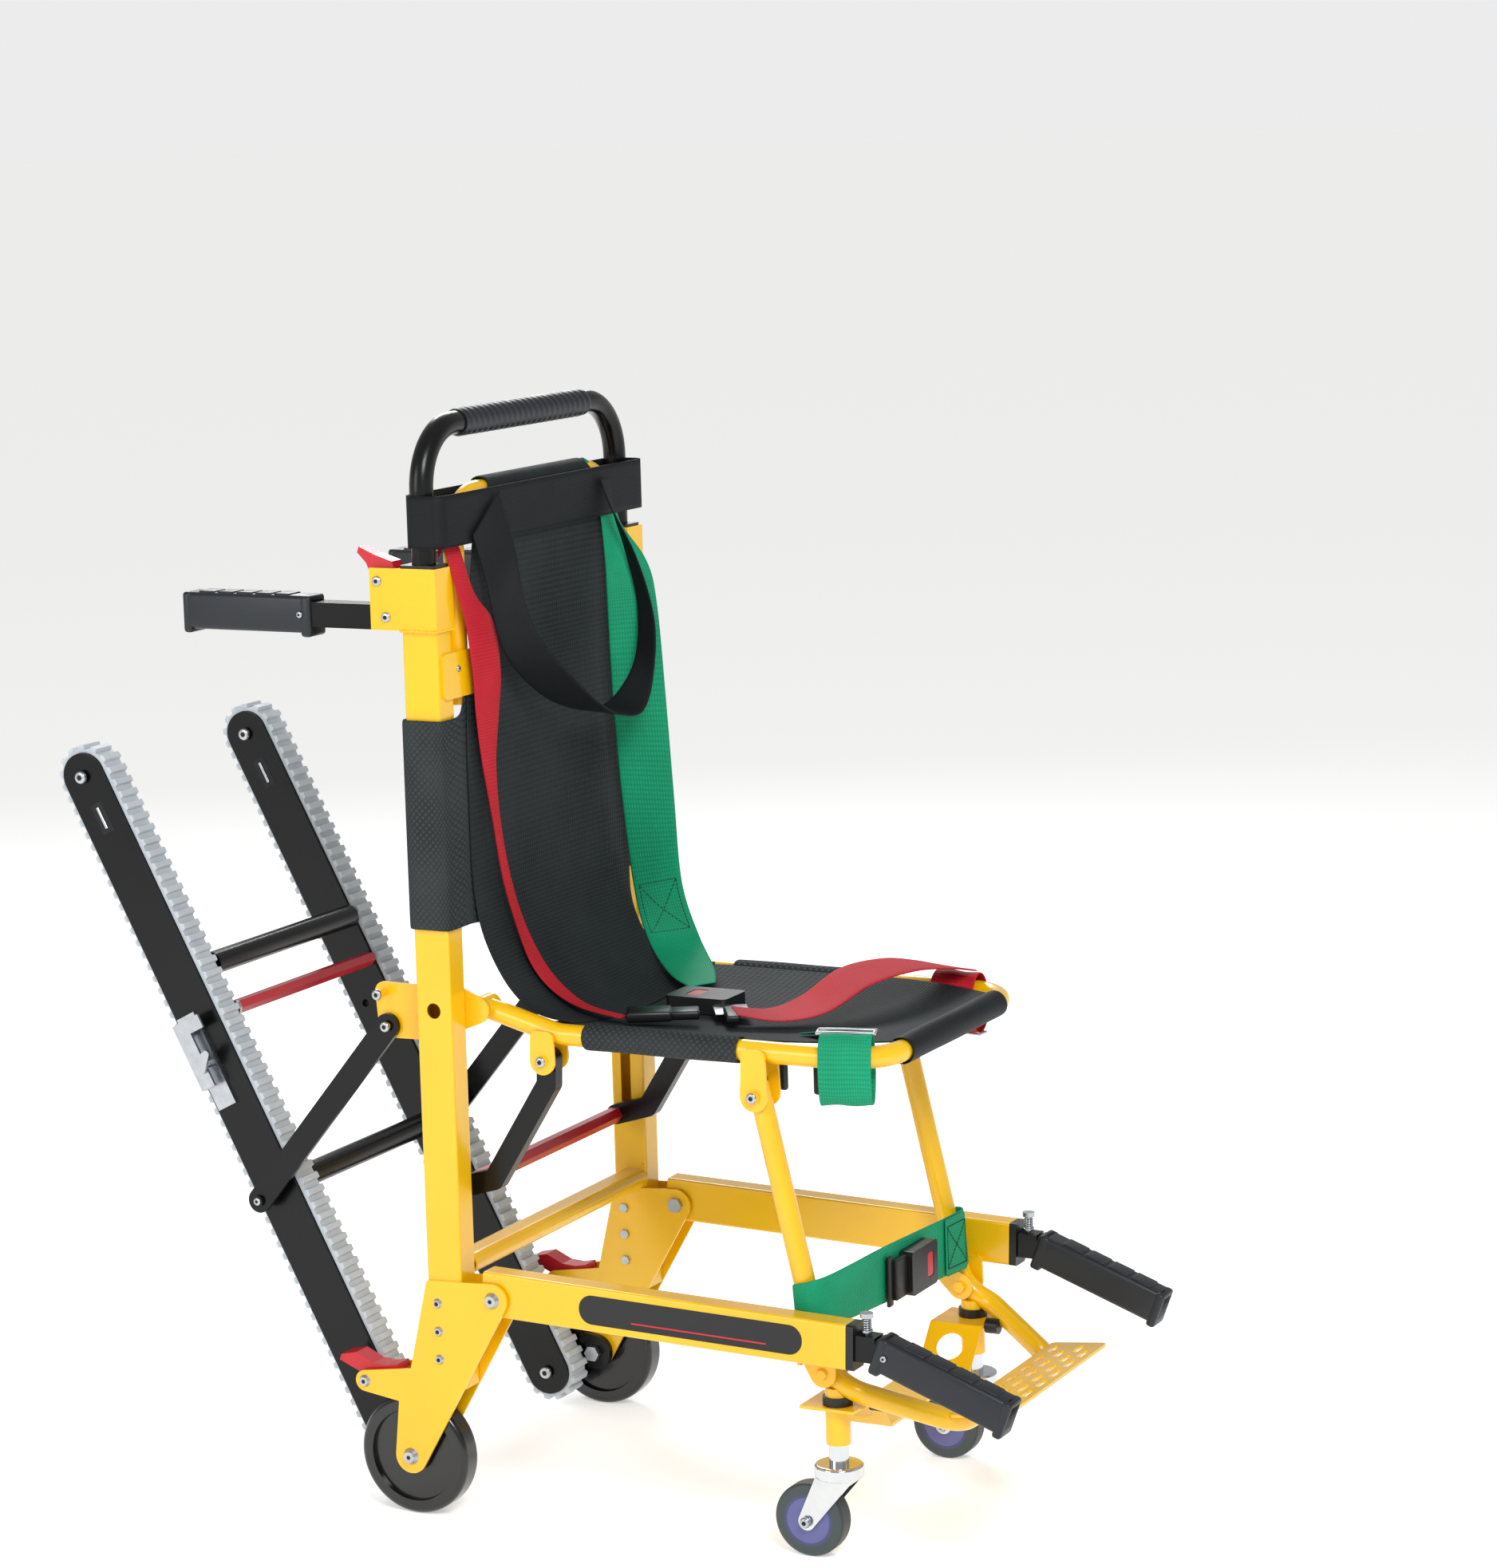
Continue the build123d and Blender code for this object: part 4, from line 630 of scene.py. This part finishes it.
for side, sign in (("left", 1), ("right", -1)):
    tube_sleeve(f"seat_side_sleeve_{side}", (sign * 166, -194, 508), (sign * 166, -368, 508), 13.0, wing_mesh,
                "seat")
smooth_webbing = woven_finish("smooth_black_webbing", "14191D", "060809", 2.6, 0.15, 0.6, 0, 0.5)
tube_sleeve("seat_front_sleeve", (-116, -517, 508), (116, -517, 508), 13.2, smooth_webbing,
            "seat")

# Head strap: wide black webbing. One band goes round both legs of the hoop, and a long loop hangs in front
# of the back as a rest for the head.
black_webbing = woven_finish("black_webbing", "12171B", "050708", 2.6, 0.2, 0.66, 0, 0.5)
strap_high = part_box("head_strap")[1]
band_middle_y = strap_high.y - 22.5 * mm
band = bmesh.new()
uv = band.loops.layers.uv.new("cloth")
corner_r = 14 * mm
hold_x = 200 * mm
hold_y = 8.6 * mm
ring = bmesh.ops.create_circle(band, segments=48, radius=corner_r)["verts"]
for vert in ring:
    vert.co.x += hold_x if vert.co.x > 0 else -hold_x
    vert.co.y += hold_y if vert.co.y > 0 else -hold_y
bmesh.ops.translate(band, vec=(0, band_middle_y, 1000 * mm), verts=ring)
bmesh.ops.subdivide_edges(band, edges=[e for e in band.edges if e.calc_length() > 50 * mm], cuts=24)
loop = band.edges[:]
for step in range(8):
    grown = bmesh.ops.extrude_edge_only(band, edges=loop)["geom"]
    loop = [g for g in grown if isinstance(g, bmesh.types.BMEdge)]
    moved = [g for g in grown if isinstance(g, bmesh.types.BMVert)]
    bmesh.ops.translate(band, vec=(0, 0, 6.5 * mm), verts=moved)
for face in band.faces:
    for corner in face.loops:
        corner[uv].uv = (corner.vert.co.x, corner.vert.co.z)
head_band = piece_from(band, "head_band", black_webbing, "top_handle", 60)
thick = head_band.modifiers.new("thickness", "SOLIDIFY")
thick.thickness = 2.2 * mm
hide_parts("head_strap")


def strap(name, left, right, flat_mm, material, record_slot, body, rows=60, thickness=2.0, crown=0.0):
    """Flat webbing between two edge lines, each a list of places in mm."""
    left_edge, right_edge = curve_through(left), curve_through(right)

    def strap_place(across, along):
        a, b = left_edge(along), right_edge(along)
        p = a.lerp(b, across)
        return at(p.x, p.y - crown * (1 - (2 * across - 1) ** 2), p.z)

    return cloth(name, strap_place, 6, rows, flat_mm, thickness, material, body), strap_place


head_rear = [(-160, -79, 1008), (-140, -80, 962), (-128, -84, 906), (-106, -88, 870), (-60, -92, 836),
             (-18, -95, 818), (28, -96, 808), (78, -100, 812), (116, -108, 848), (130, -106, 905),
             (130, -94, 960), (125, -84, 1004), (124, -80, 1040)]
head_front = [(-102, -79, 1050), (-100, -94, 988), (-114, -112, 932), (-98, -125, 890), (-52, -135, 848),
              (-10, -137, 820), (36, -137, 802), (78, -138, 800), (108, -135, 832), (122, -131, 890),
              (122, -112, 955), (110, -90, 1008), (104, -80, 1040)]
strap("head_loop", head_rear, head_front, (50, 560), black_webbing, "black_webbing", "top_handle", 90, 2.2)

# Shoulder straps: 50 mm webbing, red on the right and green on the left. Each comes over the arch behind
# the head band, runs down the back and ends at its half of the buckle.
red_webbing = woven_finish("red_webbing", "C81E30", "8E0D18", 2.6, 0.25, 0.66, 0, 0.6)
green_webbing = woven_finish("green_webbing", "0FA274", "056B4A", 2.6, 0.25, 0.66, 0, 0.6)
red_left = [(-170, -44, 985), (-180, -52, 1003), (-188, -62, 1000), (-186, -74, 955), (-176, -77, 920),
            (-166, -77, 866), (-161, -76, 825), (-150, -75, 775), (-135, -76, 715), (-120, -76, 655),
            (-103, -80, 603), (-95, -92, 560), (-92, -114, 534), (-100, -150, 521), (-120, -208, 518)]
red_right = [(-148, -42, 1000), (-158, -50, 1012), (-162, -64, 998), (-154, -75, 950), (-124, -79, 918),
             (-113, -79, 866), (-118, -78, 825), (-126, -77, 775), (-122, -77, 715), (-106, -77, 655),
             (-86, -80, 603), (-70, -92, 560), (-68, -114, 534), (-78, -150, 518), (-98, -208, 515)]
piece, _ = strap("shoulder_webbing_red", red_left, red_right, (40, 560), red_webbing, "red_webbing", None)
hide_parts("shoulder_strap_red")
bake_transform(piece)
green_left = [(106, -43, 1030), (108, -56, 1062), (112, -70, 1036), (118, -72, 996), (120, -74, 950),
              (118, -76, 902), (124, -76, 798), (137, -76, 694), (152, -80, 590), (136, -104, 540),
              (80, -158, 520), (34, -205, 519)]
green_right = [(146, -43, 1016), (150, -56, 1046), (152, -71, 1020), (153, -76, 990), (154, -106, 950),
               (149, -120, 905), (156, -124, 797), (166, -125, 690), (172, -128, 600), (166, -150, 545),
               (122, -190, 522), (64, -222, 519)]
piece, green_place = strap("shoulder_webbing_green", green_left, green_right, (50, 560), green_webbing,
                           "green_webbing", None)
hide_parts("shoulder_strap_green")
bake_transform(piece)

# Lap straps: red webbing from the buckle's tongue over the left seat tube, and a green loop round the
# right tube with a steel slide on top.
red_lap_far = [(-48, -296, 522), (-30, -330, 519), (0, -352, 528), (48, -372, 548), (98, -396, 550),
               (140, -414, 541), (166, -430, 531)]
red_lap_near = [(-84, -322, 522), (-74, -366, 517), (-42, -402, 522), (16, -424, 540), (74, -448, 545),
                (122, -466, 539), (158, -480, 531)]
piece, _ = strap("lap_webbing_red", red_lap_far, red_lap_near, (50, 290), red_webbing, "red_webbing", "seat")
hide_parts("lap_straps")
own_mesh(piece)
tube_sleeve("lap_loop_red", (168, -428, 502), (161, -480, 502), 17.5, red_webbing, "seat",
            1.8, 6.0)
tube_sleeve("lap_loop_green", (-168, -454, 502), (-152, -504, 502), 18.5, green_webbing,
            "seat", 1.9, 6.0)
green_tail = ([(-150, -456, 527), (-128, -436, 524), (-112, -418, 518), (-98, -396, 512)],
              [(-134, -500, 527), (-112, -480, 524), (-92, -456, 516), (-78, -428, 511)])
strap("lap_tail_green", *green_tail, (48, 90), green_webbing, "green_webbing", "seat", 20)
slide = bmesh.new()
slide_run = (0.29, -0.957, 0)
for x, y in ((-157, -477), (-143, -473)):
    cylinder(slide, at(x, y, 531.5), slide_run, 56 * mm, 1.9 * mm, 0.4 * mm, 16)
for x, y in ((-158, -448), (-142, -502)):
    cylinder(slide, at(x, y, 531.5), (0.957, 0.29, 0), 17 * mm, 1.9 * mm, 0.4 * mm, 16)
for x in (171, 157):
    cylinder(slide, at(x, -454, 464.5), (-0.13, -0.99, 0), 58 * mm, 1.3 * mm, 0.3 * mm, 12)
for x, y in ((168, -426), (160, -482)):
    cylinder(slide, at(x, y, 464.5), (0.99, -0.13, 0), 16 * mm, 1.3 * mm, 0.3 * mm, 12)
piece_from(slide, "lap_slide", stainless, "seat")

# Buckle tongues and side clips: black nylon halves that plug into the harness buckle, and a steel tongue.
clips = bmesh.new()
rounded_block(clips, at(-104, -232, 521), (34 * mm, 46 * mm, 11 * mm), 3 * mm, Matrix.Rotation(0.5, 4, "Z"))
rounded_block(clips, at(-84, -262, 520), (28 * mm, 30 * mm, 9 * mm), 2.5 * mm, Matrix.Rotation(0.5, 4, "Z"))
rounded_block(clips, at(-66, -306, 518), (50 * mm, 14 * mm, 8 * mm), 2.5 * mm, Matrix.Rotation(0.55, 4, "Z"))
piece_from(clips, "harness_clips", black_moulding, "seat")
tongue = bmesh.new()
rounded_block(tongue, at(-30, -287, 514), (42 * mm, 36 * mm, 2.4 * mm), 1 * mm, Matrix.Rotation(0.55, 4, "Z"))
piece_from(tongue, "harness_tongue", stainless, "seat")

# Ankle strap: green webbing that wraps both leg tubes and closes at a press buckle in front.
ankle_top = [(-181, -424, 280), (-180, -440, 284), (-164, -453, 287), (-120, -460, 289), (-60, -461, 288),
             (20, -461, 284), (90, -461, 280), (140, -459, 277), (168, -452, 273), (181, -440, 270),
             (181, -426, 268)]
ankle_low = [(-181, -428, 232), (-180, -446, 234), (-164, -459, 236), (-120, -462, 234), (-60, -461, 229),
             (20, -461, 223), (90, -461, 217), (140, -462, 214), (168, -457, 212), (181, -446, 210),
             (181, -430, 209)]
piece, _ = strap("ankle_webbing", ankle_top, ankle_low, (55, 400), green_webbing, "green_webbing", "legs", 70)
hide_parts("ankle_strap")
plate = bmesh.new()
rounded_block(plate, at(-29, -469, 251), (26 * mm, 8 * mm, 42 * mm), 2 * mm)
rounded_block(plate, at(-46, -466.5, 251), (10 * mm, 4 * mm, 52 * mm), 1.5 * mm)
piece_from(plate, "ankle_tongue", black_moulding, "legs")

# Stitching: a boxed cross sewn in dark thread where the green shoulder and ankle straps are doubled.
# Every stitch is a short piece of thread that lies on the webbing.
thread, shader = new_finish("dark_thread", 0.8)
shader.inputs["Base Color"].default_value = hex_colour("063D2C")


def stitched_box(name, place, u0, u1, v0, v1, body, lift):
    """A sewn rectangle with its diagonals, drawn in the strap's own across and along shares."""
    seams = bmesh.new()
    corners = [(u0, v0), (u1, v0), (u1, v1), (u0, v1)]
    runs = [(corners[i], corners[(i + 1) % 4]) for i in range(4)]
    runs += [(corners[0], corners[2]), (corners[1], corners[3])]
    for first, last in runs:
        stitches = 14
        for stitch in range(stitches):
            shares = [(stitch + s) / stitches for s in (0.1, 0.8)]
            a, b = (place(first[0] + (last[0] - first[0]) * s, first[1] + (last[1] - first[1]) * s)
                    for s in shares)
            cylinder(seams, (a + b) / 2 + lift, b - a, (b - a).length, 0.45 * mm, segments=6)
    return piece_from(seams, name, thread, body)


box_stitch = stitched_box("shoulder_stitching", green_place, 0.12, 0.88, 0.72, 0.80, None,
                          Vector((-0.8, -0.6, 0.2)).normalized() * 1.4 * mm)
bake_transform(box_stitch)

fold_top = [(96, -464, 279), (150, -462, 276)]
fold_low = [(96, -464.5, 217), (150, -464.5, 213)]
_, ankle_place = strap("ankle_fold", fold_top, fold_low, (55, 60), green_webbing, "green_webbing", "legs", 8)
stitched_box("ankle_stitching", ankle_place, 0.14, 0.86, 0.1, 0.9, "legs", Vector((0, -1.4 * mm, 0)))

# Seat tabs: two short black pull tabs, moulded in nylon and sewn under the seat cloth. They hang down
# beside the leg tube.
tabs = bmesh.new()
rounded_block(tabs, at(-138, -399, 482), (7 * mm, 9 * mm, 36 * mm), 3 * mm)
rounded_block(tabs, at(-118, -428, 478), (8 * mm, 11 * mm, 42 * mm), 3.5 * mm)
piece_from(tabs, "seat_tabs", black_moulding, "seat")

# Floor, lights and camera: a pale floor, three soft lights and a long lens from the chair's front right.
floor_mesh = bmesh.new()
bmesh.ops.create_grid(floor_mesh, x_segments=1, y_segments=1, size=80.0)
floor_data = bpy.data.meshes.new("floor")
floor_mesh.to_mesh(floor_data)
floor_mesh.free()
floor = bpy.data.objects.new("floor", floor_data)
bpy.context.scene.collection.objects.link(floor)
floor_paint, shader = new_finish("pale_floor", 0.9, Emission_Strength=0.42)
shader.inputs["Base Color"].default_value = hex_colour("F4F4F2")
shader.inputs["Emission Color"].default_value = hex_colour("FFFFFF")
floor_data.materials.append(floor_paint)
world = bpy.data.worlds.new("studio")
world.use_nodes = True
sky = world.node_tree.nodes["Background"]
sky.inputs[0].default_value = hex_colour("FFFFFF")
direction = add_node(world, "ShaderNodeTexCoord").outputs["Generated"]
height = add_node(world, "ShaderNodeSeparateXYZ", {0: direction}).outputs[2]
glow = add_node(world, "ShaderNodeMapRange", {0: height, 1: 0.03, 2: 0.2, 3: 0.84, 4: 0.45})
world.node_tree.links.new(glow.outputs[0], sky.inputs[1])
bpy.context.scene.world = world


def soft_light(name, place, target, power, size):
    lamp = bpy.data.lights.new(name, "AREA")
    lamp.energy = power
    lamp.size = size
    light = bpy.data.objects.new(name, lamp)
    light.location = place
    light.rotation_euler = (Vector(target) - Vector(place)).to_track_quat("-Z", "Y").to_euler()
    bpy.context.scene.collection.objects.link(light)


soft_light("key_light", (-2.6, -2.4, 3.2), (0, 0, 0.5), 110, 1.4)
soft_light("fill_light", (-3.4, 1.6, 1.8), (0, 0, 0.6), 34, 1.6)
soft_light("rim_light", (2.4, 1.6, 2.6), (0, 0, 0.6), 55, 1.4)

view_azimuth = radians(-63.0013)
view_height = radians(9.344)
view_roll = radians(-1.5331)
back = Vector((sin(view_azimuth) * cos(view_height), -cos(view_azimuth) * cos(view_height), sin(view_height)))
level = Vector((cos(view_azimuth), sin(view_azimuth), 0))
rise = back.cross(level)
right = cos(view_roll) * level + sin(view_roll) * rise
above = -sin(view_roll) * level + cos(view_roll) * rise
camera_data = bpy.data.cameras.new("camera")
camera_data.lens = 98.52
camera_data.clip_end = 200
camera = bpy.data.objects.new("camera", camera_data)
camera.matrix_world = Matrix.Translation(at(-3829.847, -2249.764, 1450.414)) @ Matrix(
    (right, above, back)).transposed().to_4x4()
bpy.context.scene.collection.objects.link(camera)
bpy.context.scene.camera = camera
bpy.context.scene.view_settings.view_transform = "Standard"
